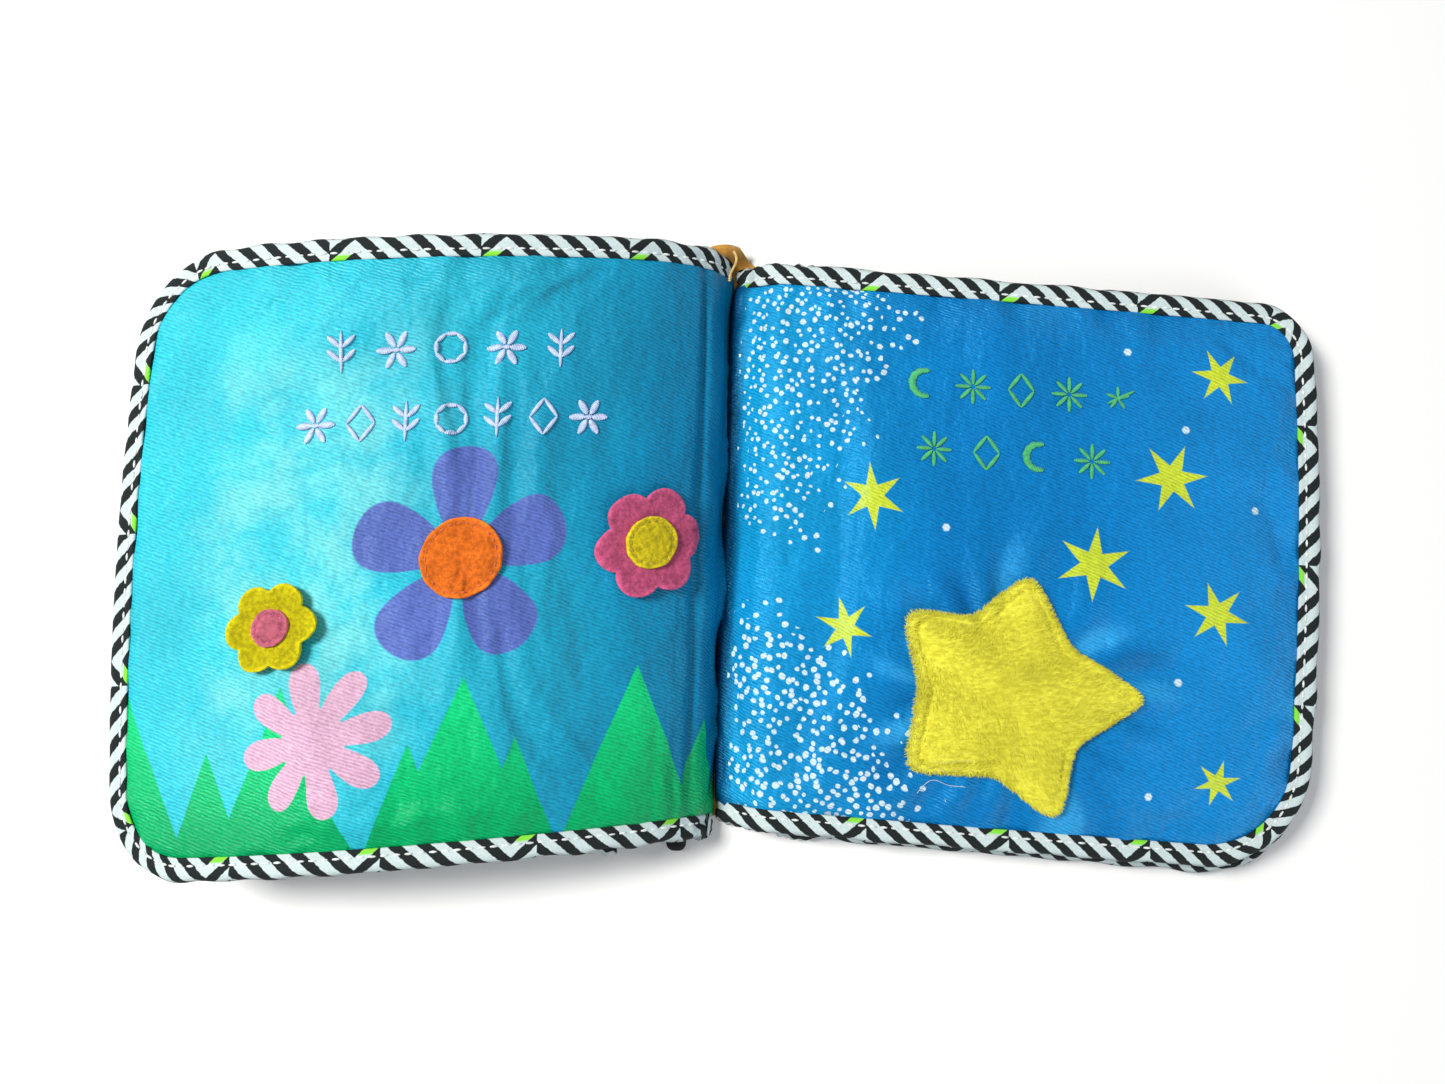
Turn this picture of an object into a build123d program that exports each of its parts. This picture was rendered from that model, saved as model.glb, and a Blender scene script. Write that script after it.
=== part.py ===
from build123d import *
import math
import os
from dataclasses import dataclass

# A padded cloth book, lying open at a spread. X runs across the spread, Y up the page along the
# spine, Z up. The origin is under the middle of the spine, on the surface that the book lies on.
# Lengths are in millimetres, and every angle's name ends in angle.

# Leaves: each is padded cloth with a bound edge. A page's own coordinates are the distance from
# the spine and the height up the page.
leaf_thickness = 6.3
left_leaf_count = 3
left_leaf_width = 163.3
left_leaf_height = 166.0
right_leaf_width = 167.8
right_leaf_height = 163.0
cover_width = 168.5
cover_height = 167.0
corner_radius = 22.0
left_top_corner_radius = 26.0
rest_gap = 0.3

# Soft leaves sag at the fore edge, so each half's top and bottom edges run down from the spine.
left_sag_angle = 5.2
right_sag_angle = 2.6

# The left leaves arch up from the spine, and the top one stands highest.
arch_crest_distance = 100.0
arch_crest_gap = 4.07
arch_inner_distance = 30.0
arch_inner_drop = 10.1
arch_outer_drop = 11.1
arch_rise_radius = 62.0
arch_root_overlap = 4.0

# The right leaf lies almost flat and rolls over into the gutter.
flat_crest_distance = 80.0
flat_inner_distance = 16.0
flat_drop = 0.6
flat_rise_radius = 12.0

# Gutter: an unpadded strip of each leaf runs down to the spine from a crease.
gutter_half_gap = 0.9
left_crease_distance = 5.0
right_crease_distance = 8.2
left_gutter_height = 5.5
right_gutter_height = 4.5
strip_thickness_share = 0.4
root_distance = 9.0
root_drop = 1.6

# Edge binding: a folded tape that wraps the thinner rim of each leaf on three sides.
tape_width = 6.6
tape_wall = 0.8
tape_step = 0.5
tape_clearance = 0.05
rim_cut_share = 0.82

# Covers and the spine strip between them.
cover_inner_distance = 16.0
spine_thickness = 1.2
spine_overhang = 4.5
spine_setback = 3.5
spine_gap = 0.4

# Felt pieces sewn on the left page.
felt_thickness = 1.5
felt_clearance = 0.1
orange_disc_distance = 68.6
orange_disc_height = -3.2
orange_disc_radius = 10.6
pink_flower_distance = 20.6
pink_flower_height = -1.1
pink_flower_radius = 15.2
mustard_disc_radius = 7.1
yellow_flower_distance = 117.3
yellow_flower_height = -17.9
yellow_flower_radius = 11.9
pink_disc_radius = 4.8
flower_lobe_share = 0.36
flower_core_share = 0.62
flower_lobe_count = 6

# Plush star sewn on the right page.
plush_thickness = 4.0
plush_clearance = 0.1
star_distance = 81.0
star_height = -37.7
star_reach = 38.5
star_tip_round = 4.5
star_valley_round = 6.0
# The star was cut by hand. By turns a tip and a valley: the angle, and the share of its reach.
star_corner_angles = (3.5, 45.0, 82.9, 119.4, 144.5, 178.2, 218.6, 259.0, 292.1, 324.2)
star_corner_shares = (1.0, 0.56, 0.92, 0.62, 0.98, 0.67, 0.95, 0.58, 0.96, 0.56)

# Joint: the front half closes over the back half about a line above the gutter.
closing_clearance = 0.4

overrun = 20.0

cover_top = leaf_thickness
right_crest_height = cover_top + rest_gap + leaf_thickness + flat_drop


@dataclass
class LeafLine:
    """The top line of a leaf in section, as arcs on both sides of its crest."""
    crest_distance: float
    crest_height: float
    inner_distance: float
    inner_drop: float
    outer_distance: float
    outer_drop: float
    rise_radius: float = 0
    crease_distance: float = 0
    gutter_height: float = 0

    def arc(self, run, drop):
        """Radius, centre and end angle of an arc that falls by drop over run from the crest."""
        radius = (run**2 + drop**2) / (2 * drop)
        return radius, (self.crest_distance, self.crest_height - radius), math.asin(run / radius)


def on_circle(centre, radius, angle):
    """Point on a circle, at an angle from straight up towards the fore edge."""
    return (centre[0] + radius * math.sin(angle), centre[1] + radius * math.cos(angle))


def arc_between(centre, radius, first, last):
    """Arc over a stretch of a circle, between two angles from straight up."""
    middle = (first + last) / 2
    return ThreePointArc(*[on_circle(centre, radius, angle) for angle in (first, middle, last)])


def rise(line):
    """Centre, first and last angle of the arc that carries the leaf up from its crease."""
    radius, centre, angle = line.arc(line.crest_distance - line.inner_distance, line.inner_drop)
    rise_centre = on_circle(centre, radius - line.rise_radius, -angle)
    crease_angle = -math.asin((rise_centre[0] - line.crease_distance) / line.rise_radius)
    return rise_centre, crease_angle, -angle


def gutter_foot(line, depth):
    """Foot of the unpadded strip, at its share of a depth, square to the strip."""
    centre, crease_angle, _ = rise(line)
    crease = on_circle(centre, line.rise_radius, crease_angle)
    slope = math.atan2(crease[1] - line.gutter_height, crease[0] - gutter_half_gap)
    sunk = depth * strip_thickness_share
    return (gutter_half_gap + sunk * math.sin(slope), line.gutter_height - sunk * math.cos(slope))


def line_edges(line, depth, trim=0):
    """The leaf's line at a depth under its top, from the gutter to its fore edge less a trim."""
    inner_radius, inner_centre, inner_angle = line.arc(
        line.crest_distance - line.inner_distance, line.inner_drop)
    outer_radius, outer_centre, outer_angle = line.arc(
        line.outer_distance - line.crest_distance, line.outer_drop)
    edges = []
    if line.rise_radius:
        centre, crease_angle, rise_end = rise(line)
        climb = arc_between(centre, line.rise_radius - depth, crease_angle, rise_end)
        edges.append(Line(gutter_foot(line, depth), climb @ 0))
        edges.append(climb)
    edges.append(arc_between(inner_centre, inner_radius - depth, -inner_angle, 0))
    outer_end = outer_angle - trim / outer_radius
    edges.append(arc_between(outer_centre, outer_radius - depth, 0, outer_end))
    return edges


def swept(edges):
    """A closed section swept along the spine, past both ends of the book."""
    face = make_face(edges)
    return extrude(Plane.XZ * face, cover_height + overrun, both=True)


def band(line, top_depth, bottom_depth, trim=0):
    """The slab of a leaf between two depths under its top line."""
    upper = line_edges(line, top_depth, trim)
    lower = line_edges(line, bottom_depth, trim)
    ends = [Line(upper[0] @ 0, lower[0] @ 0), Line(upper[-1] @ 1, lower[-1] @ 1)]
    return swept(upper + lower + ends)


def page_prism(width, height, sag_angle, top_radius, inset=0, inner=None, rim=False):
    """Upright prism on a leaf's outline, drawn in by an inset, with rounded fore corners.

    The rim inside the tape isn't seen, and its corners are cut straight.
    """
    start = -overrun if inner is None else inner
    slide = math.tan(math.radians(sag_angle))
    half = height / 2 - inset / math.cos(math.radians(sag_angle))
    end = width - inset
    corners = [(start, half - start * slide), (end, half - end * slide),
               (end, -half - end * slide), (start, -half - start * slide)]
    face = make_face(Polyline(*corners, close=True))
    for end_index, radius in ((0, corner_radius), (-1, top_radius)):
        fore = face.vertices().sort_by(Axis.X)[-2:].sort_by(Axis.Y)
        corner = fore[end_index]
        size = radius - inset
        face = chamfer(corner, size * rim_cut_share) if rim else fillet(corner, size)
    return extrude(face, cover_height, both=True)


def bound_leaf(line, *size):
    """A padded leaf with a thin rim, and the folded tape that wraps the rim."""
    outline = page_prism(*size, inner=0)
    inside = page_prism(*size, tape_width)
    core_outline = page_prism(*size, tape_wall, rim=True)
    padding = band(line, 0, leaf_thickness) & inside
    core_top = tape_step + tape_wall
    core_band = band(line, core_top, leaf_thickness - core_top, tape_wall)
    core = core_band & core_outline & outline
    tape_band = band(line, tape_step, leaf_thickness - tape_step)
    window = page_prism(*size, tape_width - tape_clearance)
    fold = band(line, core_top - tape_clearance, leaf_thickness - core_top + tape_clearance, tape_wall)
    tape = (tape_band & outline) - window - (fold & core_outline)
    return padding + core, tape


def spine_root(line, *size):
    """The unpadded leaf ends pressed together at the spine, under the top leaf's rise."""
    upper = line_edges(line, 0)[:2]
    floor = cover_top + rest_gap
    points = [upper[-1] @ 1, (line.inner_distance, floor), (root_distance, floor),
              (gutter_half_gap, line.gutter_height - root_drop), upper[0] @ 0]
    section = swept(upper + Polyline(*points).edges())
    return section & page_prism(*size, tape_width)


def flat_cover(sag_angle, top_radius):
    """A cover: a flat padded leaf on the table, with its binding."""
    size = (cover_width, cover_height, sag_angle, top_radius)
    outline = page_prism(*size, inner=cover_inner_distance)
    inside = page_prism(*size, tape_width, cover_inner_distance)
    rim = page_prism(*size, tape_wall, cover_inner_distance, rim=True)

    def slab(bottom, top):
        block = Box(cover_width + overrun, cover_height + cover_width, top - bottom)
        return Pos((cover_width + overrun) / 2, 0, (top + bottom) / 2) * block

    core_bottom = tape_step + tape_wall
    padding = slab(0, leaf_thickness) & inside
    core = slab(core_bottom, leaf_thickness - core_bottom) & rim
    window = page_prism(*size, tape_width - tape_clearance)
    fold = slab(core_bottom - tape_clearance, leaf_thickness - core_bottom + tape_clearance) & rim
    tape = (slab(tape_step, leaf_thickness - tape_step) & outline) - window - fold
    return padding + core, tape


def left_line(number):
    """Section line of a left leaf, counted up from the cover: each arches more than the last."""
    share = number / left_leaf_count
    crest = cover_top + number * (leaf_thickness + arch_crest_gap)
    line = LeafLine(arch_crest_distance, crest, arch_inner_distance - arch_root_overlap,
                    arch_inner_drop * share, left_leaf_width, arch_outer_drop * share)
    if number == left_leaf_count:
        line.inner_distance = arch_inner_distance
        line.rise_radius = arch_rise_radius
        line.crease_distance = left_crease_distance
        line.gutter_height = left_gutter_height
    return line


def left_pages_and_bindings():
    """The left leaves, sewn together at the spine into one stack, and their tapes."""
    size = (left_leaf_width, left_leaf_height, left_sag_angle, left_top_corner_radius)
    pages = spine_root(left_line(left_leaf_count), *size)
    tapes = []
    for number in range(1, left_leaf_count + 1):
        leaf, tape = bound_leaf(left_line(number), *size)
        pages += leaf
        tapes += tape.solids()
    return pages, Compound(tapes)


def right_line():
    """Section line of the right leaf."""
    return LeafLine(flat_crest_distance, right_crest_height, flat_inner_distance, flat_drop,
                    right_leaf_width, flat_drop, flat_rise_radius, right_crease_distance,
                    right_gutter_height)


def right_page_and_binding():
    """The right leaf with its strip at the gutter, and its tape."""
    size = (right_leaf_width, right_leaf_height, right_sag_angle, corner_radius)
    page, tape = bound_leaf(right_line(), *size)
    return page + spine_root(right_line(), *size), tape


def on_page(distance, height, sag_angle):
    """Plan place of a point on a page, from its own coordinates."""
    return Pos(distance, height - distance * math.tan(math.radians(sag_angle)))


def page_slope(line, distance):
    """Angle, and height of the top line, where the leaf passes a distance from the spine."""
    centre, _, _ = rise(line)
    radius = line.rise_radius
    if distance > line.crest_distance:
        radius, centre, _ = line.arc(line.outer_distance - line.crest_distance, line.outer_drop)
    elif distance > line.inner_distance:
        radius, centre, _ = line.arc(line.crest_distance - line.inner_distance, line.inner_drop)
    angle = math.asin((distance - centre[0]) / radius)
    return angle, on_circle(centre, radius, angle)[1]


def felt_piece(outline, distance, height, layer):
    """A felt shape that follows the arched left page, in the first or second layer."""
    line = left_line(left_leaf_count)
    bottom = felt_clearance + layer * (felt_thickness + felt_clearance)
    sheet = band(line, -bottom - felt_thickness, -bottom)
    angle, level = page_slope(line, distance)
    place = on_page(distance, height, left_sag_angle) * Pos(0, 0, level)
    stamp = extrude(outline, leaf_thickness, both=True)
    return sheet & place * Rot(0, math.degrees(angle), 0) * stamp


def flower(radius):
    """Outline of a felt flower with round lobes."""
    lobe = radius * flower_lobe_share
    reach = radius - lobe
    outline = Circle(radius * flower_core_share)
    for number in range(flower_lobe_count):
        turn = 2 * math.pi * number / flower_lobe_count
        outline += Pos(reach * math.cos(turn), reach * math.sin(turn)) * Circle(lobe)
    return outline


def plush_star():
    """A plump star with rounded points and valleys, lying on the right page."""
    corners = [Vector(star_reach * share, 0).rotate(Axis.Z, angle)
               for angle, share in zip(star_corner_angles, star_corner_shares)]
    face = make_face(Polyline(*corners, close=True))
    for group, radius in ((corners[::2], star_tip_round), (corners[1::2], star_valley_round)):
        face = fillet([face.vertices().sort_by_distance(corner)[0] for corner in group], radius)
    place = on_page(star_distance, star_height, right_sag_angle)
    sheet = band(right_line(), -plush_clearance - plush_thickness, -plush_clearance)
    return sheet & extrude(place * face, cover_height, both=True)


def spine_strip():
    """The strip of cloth that joins the covers, flat under the gutter."""
    half_width = cover_inner_distance - spine_gap
    length = cover_height + spine_overhang - spine_setback
    strip = Box(2 * half_width, length, spine_thickness)
    return Pos(0, (spine_overhang + spine_setback) / 2, spine_thickness / 2) * strip


def mirrored(shape):
    """The same shape on the left of the spine."""
    return mirror(shape, about=Plane.YZ)


def build():
    """Every piece of the book, by its name."""
    front_cover, front_binding = flat_cover(left_sag_angle, left_top_corner_radius)
    back_cover, back_binding = flat_cover(right_sag_angle, corner_radius)
    left_pages, left_bindings = left_pages_and_bindings()
    right_pages, right_binding = right_page_and_binding()
    orange = (orange_disc_distance, orange_disc_height)
    pink = (pink_flower_distance, pink_flower_height)
    yellow = (yellow_flower_distance, yellow_flower_height)
    left = {
        "front_cover": front_cover,
        "front_cover_binding": front_binding,
        "left_pages": left_pages,
        "left_page_bindings": left_bindings,
        "orange_felt_disc": felt_piece(Circle(orange_disc_radius), *orange, 0),
        "pink_felt_flower": felt_piece(flower(pink_flower_radius), *pink, 0),
        "mustard_felt_disc": felt_piece(Circle(mustard_disc_radius), *pink, 1),
        "yellow_felt_flower": felt_piece(flower(yellow_flower_radius), *yellow, 0),
        "pink_felt_disc": felt_piece(Circle(pink_disc_radius), *yellow, 1),
    }
    right = {
        "back_cover": back_cover,
        "back_cover_binding": back_binding,
        "right_pages": right_pages,
        "right_page_binding": right_binding,
        "plush_star": plush_star(),
        "spine_strip": spine_strip(),
    }
    pieces = {name: mirrored(shape) for name, shape in left.items()}
    pieces.update(right)
    return pieces


os.makedirs("parts", exist_ok=True)
for piece_name, piece in build().items():
    export_step(piece, f"parts/{piece_name}.step")

left_top = left_line(left_leaf_count).crest_height + felt_clearance + felt_thickness
right_top = right_crest_height + plush_clearance + plush_thickness
hinge_height = (left_top + right_top) / 2 + closing_clearance
print("hinge axis height", round(hinge_height, 3))
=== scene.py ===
# %% [markdown]
# # A soft book
# This lesson dresses a padded cloth book that lies open. The solid model gives every leaf its
# size and place. Blender adds the satin skins, the striped binding, the felt and the plush.
# We start by loading that fixed frame, because every piece below is placed from it.

# %% Load the frame
import math

import bpy
import numpy as np
from mathutils import Matrix, Vector
from mathutils.bvhtree import BVHTree


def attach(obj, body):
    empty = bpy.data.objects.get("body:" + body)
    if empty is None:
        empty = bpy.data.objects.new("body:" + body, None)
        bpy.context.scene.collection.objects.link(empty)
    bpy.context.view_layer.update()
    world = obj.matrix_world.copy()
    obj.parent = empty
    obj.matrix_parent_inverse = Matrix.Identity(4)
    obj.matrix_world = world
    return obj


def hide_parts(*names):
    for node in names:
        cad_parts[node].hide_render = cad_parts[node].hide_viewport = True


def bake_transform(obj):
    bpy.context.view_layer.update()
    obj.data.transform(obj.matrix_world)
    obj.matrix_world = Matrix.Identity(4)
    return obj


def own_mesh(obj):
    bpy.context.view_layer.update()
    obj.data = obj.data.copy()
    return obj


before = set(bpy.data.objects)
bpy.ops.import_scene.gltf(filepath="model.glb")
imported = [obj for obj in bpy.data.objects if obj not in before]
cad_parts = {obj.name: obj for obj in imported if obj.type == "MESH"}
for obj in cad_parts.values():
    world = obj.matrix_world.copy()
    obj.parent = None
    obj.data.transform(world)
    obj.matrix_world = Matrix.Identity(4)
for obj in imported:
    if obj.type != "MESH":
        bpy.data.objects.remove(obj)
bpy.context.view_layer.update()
MM = 0.001

# %% [markdown]
# ## The leaves as cloth
# A leaf is easiest to shape in its own cloth coordinates: how far we walk over the cloth from
# the gutter, and how high we are on the page. A section line turns the walk into a place in
# space, so arched and flat leaves use the same code. The sizes repeat those of the solids.

# %% Sizes of the leaves
LEAF_THICKNESS = 6.3 * MM
TAPE_WIDTH = 6.6 * MM
CORNER_RADIUS = 24.0 * MM
LEFT_TOP_CORNER_RADIUS = 26.0 * MM
RIGHT_CORNER_RADII = (16.0 * MM, 30.0 * MM)
GUTTER_HALF_GAP, GUTTER_LEVEL = 0.15 * MM, 2.0 * MM
FORE_EDGE_BOW, BOW_MIDDLE, BOW_REACH = 2.3 * MM, 12 * MM, 62 * MM
# A leaf grows by these shares: its upper half, its foot at the fore edge, its foot at the gutter.
LEFT_SPREAD, RIGHT_SPREAD = (0.019, 0.020, 0.034), (0.0, -0.015, 0.0)
LEFT_LEAVES = 3
CREST_DISTANCE = 100.0 * MM
CREST_STEP = 10.37 * MM
ARCH_START = 30.0 * MM
ARCH_OVERLAP = 4.0 * MM
ARCH_INNER_DROP = 10.1 * MM
ARCH_OUTER_DROP = 11.1 * MM
LEFT_WIDTH, LEFT_HEIGHT, LEFT_SAG = 163.3 * MM, 166.0 * MM, math.radians(5.2)
RIGHT_WIDTH, RIGHT_HEIGHT, RIGHT_SAG = 167.8 * MM, 163.0 * MM, math.radians(2.6)
COVER_WIDTH, COVER_HEIGHT, COVER_START = 168.5 * MM, 167.0 * MM, 16.0 * MM
LEFT_RISE_RADIUS, LEFT_CREASE = 62.0 * MM, 5.0 * MM
RIGHT_RISE_RADIUS, RIGHT_CREASE = 12.0 * MM, 8.2 * MM
RIGHT_CREST, RIGHT_ARCH_START, RIGHT_DROP = (80.0 * MM, 13.5 * MM), 16.0 * MM, 0.6 * MM


# %% Section lines
def arc(centre, radius, first, last, count=60):
    """Points on a circle, with angles from straight up towards the fore edge."""
    angles = np.linspace(first, last, count)
    return np.stack([centre[0] + radius * np.sin(angles), centre[1] + radius * np.cos(angles)], 1)


def arched_points(crest, inner_end, inner_drop, width, outer_drop):
    """The two arcs of a leaf on both sides of its crest, and the inner arc's circle."""
    run_in, run_out = crest[0] - inner_end, width - crest[0]
    radius_in = (run_in**2 + inner_drop**2) / (2 * inner_drop)
    radius_out = (run_out**2 + outer_drop**2) / (2 * outer_drop)
    angle_in, angle_out = math.asin(run_in / radius_in), math.asin(run_out / radius_out)
    centre_in = (crest[0], crest[1] - radius_in)
    centre_out = (crest[0], crest[1] - radius_out)
    inner = arc(centre_in, radius_in, -angle_in, 0)
    outer = arc(centre_out, radius_out, 0, angle_out)
    return np.vstack([inner, outer[1:]]), centre_in, radius_in, angle_in


def rising_points(centre, radius, angle, rise_radius, crease):
    """The strip that leaves the gutter and the arc that carries the leaf up from its crease."""
    rise_centre = (centre[0] - (radius - rise_radius) * math.sin(angle),
                   centre[1] + (radius - rise_radius) * math.cos(angle))
    first = -math.asin((rise_centre[0] - crease) / rise_radius)
    climb = arc(rise_centre, rise_radius, first, -angle)
    foot = np.array([GUTTER_HALF_GAP, GUTTER_LEVEL])
    strip = foot + np.linspace(0, 1, 20)[:-1, None] * (climb[0] - foot)
    return np.vstack([strip, climb[:-1]])


class Leaf:
    """One leaf: its section line and the way from cloth coordinates to space."""

    def __init__(self, points, side, height, sag, bow=0.0, spread=(0.0, 0.0, 0.0)):
        self.points, self.side, self.height, self.sag = points, side, height, sag
        self.bow, self.spread = bow, spread
        self.corners = (LEFT_TOP_CORNER_RADIUS, CORNER_RADIUS) if side < 0 else RIGHT_CORNER_RADII
        steps = np.linalg.norm(np.diff(points, axis=0), axis=1)
        self.walk = np.concatenate([[0], np.cumsum(steps)])
        self.length = self.walk[-1]
        slope = np.gradient(points, self.walk, axis=0)
        slope /= np.linalg.norm(slope, axis=1)[:, None]
        self.normal = np.stack([-slope[:, 1], slope[:, 0]], 1)

    def walk_to(self, distance):
        """Walk over the cloth to a distance from the spine, measured on the table."""
        return float(np.interp(distance, self.points[:, 0], self.walk))

    def place(self, walk, up, rise):
        """Points in space: a walk from the gutter, a height on the page, a rise off its top."""
        walk = np.asarray(walk, float)
        past = walk - np.clip(walk, 0, self.length)
        out = []
        for k in range(2):
            line = np.interp(walk, self.walk, self.points[:, k])
            out.append(line + rise * np.interp(walk, self.walk, self.normal[:, k]))
        last = self.normal[-1]
        distance, level = out[0] + past * last[1], out[1] - past * last[0]
        out_share = np.clip(walk / self.length, 0, 1)
        bowed = np.clip(1 - ((up - BOW_MIDDLE) / BOW_REACH) ** 2, -1.2, 1)
        distance = distance + self.bow * out_share**3 * bowed
        foot = self.spread[1] * out_share**2 + self.spread[2] * np.exp(-np.maximum(walk, 0) / (13 * MM))
        taller = np.where(up > 0, self.spread[0], foot)
        depth = up * (1 + taller) - distance * math.tan(self.sag)
        return np.stack([self.side * distance, depth + 0 * distance, level + 0 * distance], -1)


def left_leaf(number):
    """A left leaf, counted up from the cover: each arches more than the one below."""
    share = number / LEFT_LEAVES
    top = number == LEFT_LEAVES
    crest = (CREST_DISTANCE, LEAF_THICKNESS + number * CREST_STEP)
    start = ARCH_START if top else ARCH_START - ARCH_OVERLAP
    points, centre, radius, angle = arched_points(
        crest, start, ARCH_INNER_DROP * share, LEFT_WIDTH, ARCH_OUTER_DROP * share)
    if top:
        rising = rising_points(centre, radius, angle, LEFT_RISE_RADIUS, LEFT_CREASE)
        points = np.vstack([rising, points])
    return Leaf(points, -1, LEFT_HEIGHT, LEFT_SAG, FORE_EDGE_BOW, LEFT_SPREAD)


def right_leaf():
    """The right leaf, almost flat, rolling over into the gutter."""
    points, centre, radius, angle = arched_points(
        RIGHT_CREST, RIGHT_ARCH_START, RIGHT_DROP, RIGHT_WIDTH, RIGHT_DROP)
    rising = rising_points(centre, radius, angle, RIGHT_RISE_RADIUS, RIGHT_CREASE)
    return Leaf(np.vstack([rising, points]), 1, RIGHT_HEIGHT, RIGHT_SAG, FORE_EDGE_BOW, RIGHT_SPREAD)


def cover_leaf(side, sag):
    """A cover, flat on the table."""
    flat = np.linspace(COVER_START, COVER_WIDTH, 40)
    points = np.stack([flat, np.full(40, LEAF_THICKNESS)], 1)
    return Leaf(points, side, COVER_HEIGHT, sag)


LEFT = {number: left_leaf(number) for number in range(1, LEFT_LEAVES + 1)}
LEFT_TOP = LEFT[LEFT_LEAVES]
RIGHT_TOP = right_leaf()
FRONT_COVER = cover_leaf(-1, LEFT_SAG)
BACK_COVER = cover_leaf(1, RIGHT_SAG)
print("left page walks", round(LEFT_TOP.length / MM, 1), "mm, right", round(RIGHT_TOP.length / MM, 1))

# %% [markdown]
# ## Camera, floor and light
# The photograph looks almost straight down from about 30 cm, with a phone's wide lens, so the
# raised left half looks larger. The camera is set by its height angle, its roll and the point
# that it looks at. A pale floor and large soft lamps keep colours about as they are written.

# %% Camera
PHOTO_WIDTH, PHOTO_FOCAL = 1445.0, 1085.0
CAMERA_RISE = math.radians(86.15)
CAMERA_ROLL = math.radians(2.2)
CAMERA_REACH = 304.3 * MM
CAMERA_TARGET = Vector((-0.6, -1.3, 15.9)) * MM

towards = Vector((0, -math.cos(CAMERA_RISE), math.sin(CAMERA_RISE)))
across = Vector((1, 0, 0))
upward = towards.cross(across)
right_axis = across * math.cos(CAMERA_ROLL) + upward * math.sin(CAMERA_ROLL)
up_axis = upward * math.cos(CAMERA_ROLL) - across * math.sin(CAMERA_ROLL)
lens = bpy.data.cameras.new("camera")
lens.sensor_width = 36.0
lens.lens = lens.sensor_width * PHOTO_FOCAL / PHOTO_WIDTH
lens.clip_start = 0.01
camera = bpy.data.objects.new("camera", lens)
bpy.context.scene.collection.objects.link(camera)
turn = Matrix((right_axis, up_axis, towards)).transposed().to_4x4()
camera.matrix_world = Matrix.Translation(CAMERA_TARGET + towards * CAMERA_REACH) @ turn
bpy.context.scene.camera = camera
print("lens", round(lens.lens, 2), "mm")

# %% Lamps and world
scene = bpy.context.scene
scene.view_settings.view_transform = "Standard"
world = bpy.data.worlds.new("studio")
scene.world = world
world.use_nodes = True
world.node_tree.nodes["Background"].inputs["Color"].default_value = (0.93, 0.96, 1.0, 1)
world.node_tree.nodes["Background"].inputs["Strength"].default_value = 0.32


def lamp(name, place, aim, size, watts, colour):
    """A square soft lamp that shines at a point."""
    light = bpy.data.lights.new(name, "AREA")
    light.size, light.energy, light.color = size, watts, colour
    holder = bpy.data.objects.new(name, light)
    holder.location = place
    holder.rotation_euler = (Vector(aim) - Vector(place)).to_track_quat("-Z", "Y").to_euler()
    scene.collection.objects.link(holder)


lamp("key", (-0.63, 0.22, 0.87), (0, 0, 0), 0.3, 14.0, (1.0, 0.98, 0.94))
lamp("fill", (0.9, -0.75, 0.6), (0, 0, 0), 0.8, 5.5, (0.96, 0.98, 1.0))

# %% [markdown]
# ## Helpers for shaping
# Each piece starts as a Blender primitive, a grid or a ball. Its points are then moved by a
# formula in cloth coordinates, as one would sculpt them by hand. A grid suits skins and tape,
# and a ball suits small closed things such as felt pieces and stitches.

# %% Shaping helpers
def clear_selection():
    """Operators act on all that is selected, so nothing is selected first."""
    if bpy.context.object and bpy.context.object.mode != "OBJECT":
        bpy.ops.object.mode_set(mode="OBJECT")
    bpy.ops.object.select_all(action="DESELECT")


def take(piece):
    """Make a piece the only selected and active one."""
    clear_selection()
    piece.select_set(True)
    bpy.context.view_layer.objects.active = piece


def points_of(piece):
    """A mesh's points as an array."""
    flat = np.zeros(len(piece.data.vertices) * 3)
    piece.data.vertices.foreach_get("co", flat)
    return flat.reshape(-1, 3)


def move_points(piece, points):
    """Give a mesh's points new places."""
    piece.data.vertices.foreach_set("co", np.asarray(points, np.float64).ravel())
    piece.data.update()


def grid_piece(name, columns, rows):
    """A flat grid from 0 to 1 across and up, as a start for a skin or a tape."""
    clear_selection()
    bpy.ops.mesh.primitive_grid_add(x_subdivisions=columns, y_subdivisions=rows, size=2)
    piece = bpy.context.object
    piece.name = piece.data.name = name
    flat = points_of(piece)
    return piece, (flat[:, 0] + 1) / 2, (flat[:, 1] + 1) / 2


def ball_piece(name, segments, rings):
    """A ball as a start for a small closed piece, with each point's turn and tilt."""
    clear_selection()
    bpy.ops.mesh.primitive_uv_sphere_add(segments=segments, ring_count=rings, radius=1)
    piece = bpy.context.object
    piece.name = piece.data.name = name
    flat = points_of(piece)
    return piece, np.arctan2(flat[:, 1], flat[:, 0]), np.arcsin(np.clip(flat[:, 2], -1, 1))


def write_uv(piece, across, up):
    """Store each point's cloth coordinates in a UV map, one unit for 100 mm."""
    if "cloth" not in piece.data.uv_layers:
        piece.data.uv_layers.new(name="cloth")
    for other in [item for item in piece.data.uv_layers if item.name != "cloth"]:
        piece.data.uv_layers.remove(other)
    layer = piece.data.uv_layers["cloth"]
    loops = np.zeros(len(piece.data.loops), int)
    piece.data.loops.foreach_get("vertex_index", loops)
    pairs = np.stack([across[loops], up[loops]], 1) * 10
    layer.data.foreach_set("uv", pairs.ravel())


def outward(piece, merge=0.01 * MM):
    """Close the seams of a mesh and point its faces outwards."""
    take(piece)
    bpy.ops.object.mode_set(mode="EDIT")
    bpy.ops.mesh.select_all(action="SELECT")
    bpy.ops.mesh.remove_doubles(threshold=merge)
    bpy.ops.mesh.normals_make_consistent(inside=False)
    bpy.ops.object.mode_set(mode="OBJECT")
    bpy.ops.object.shade_smooth()


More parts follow.
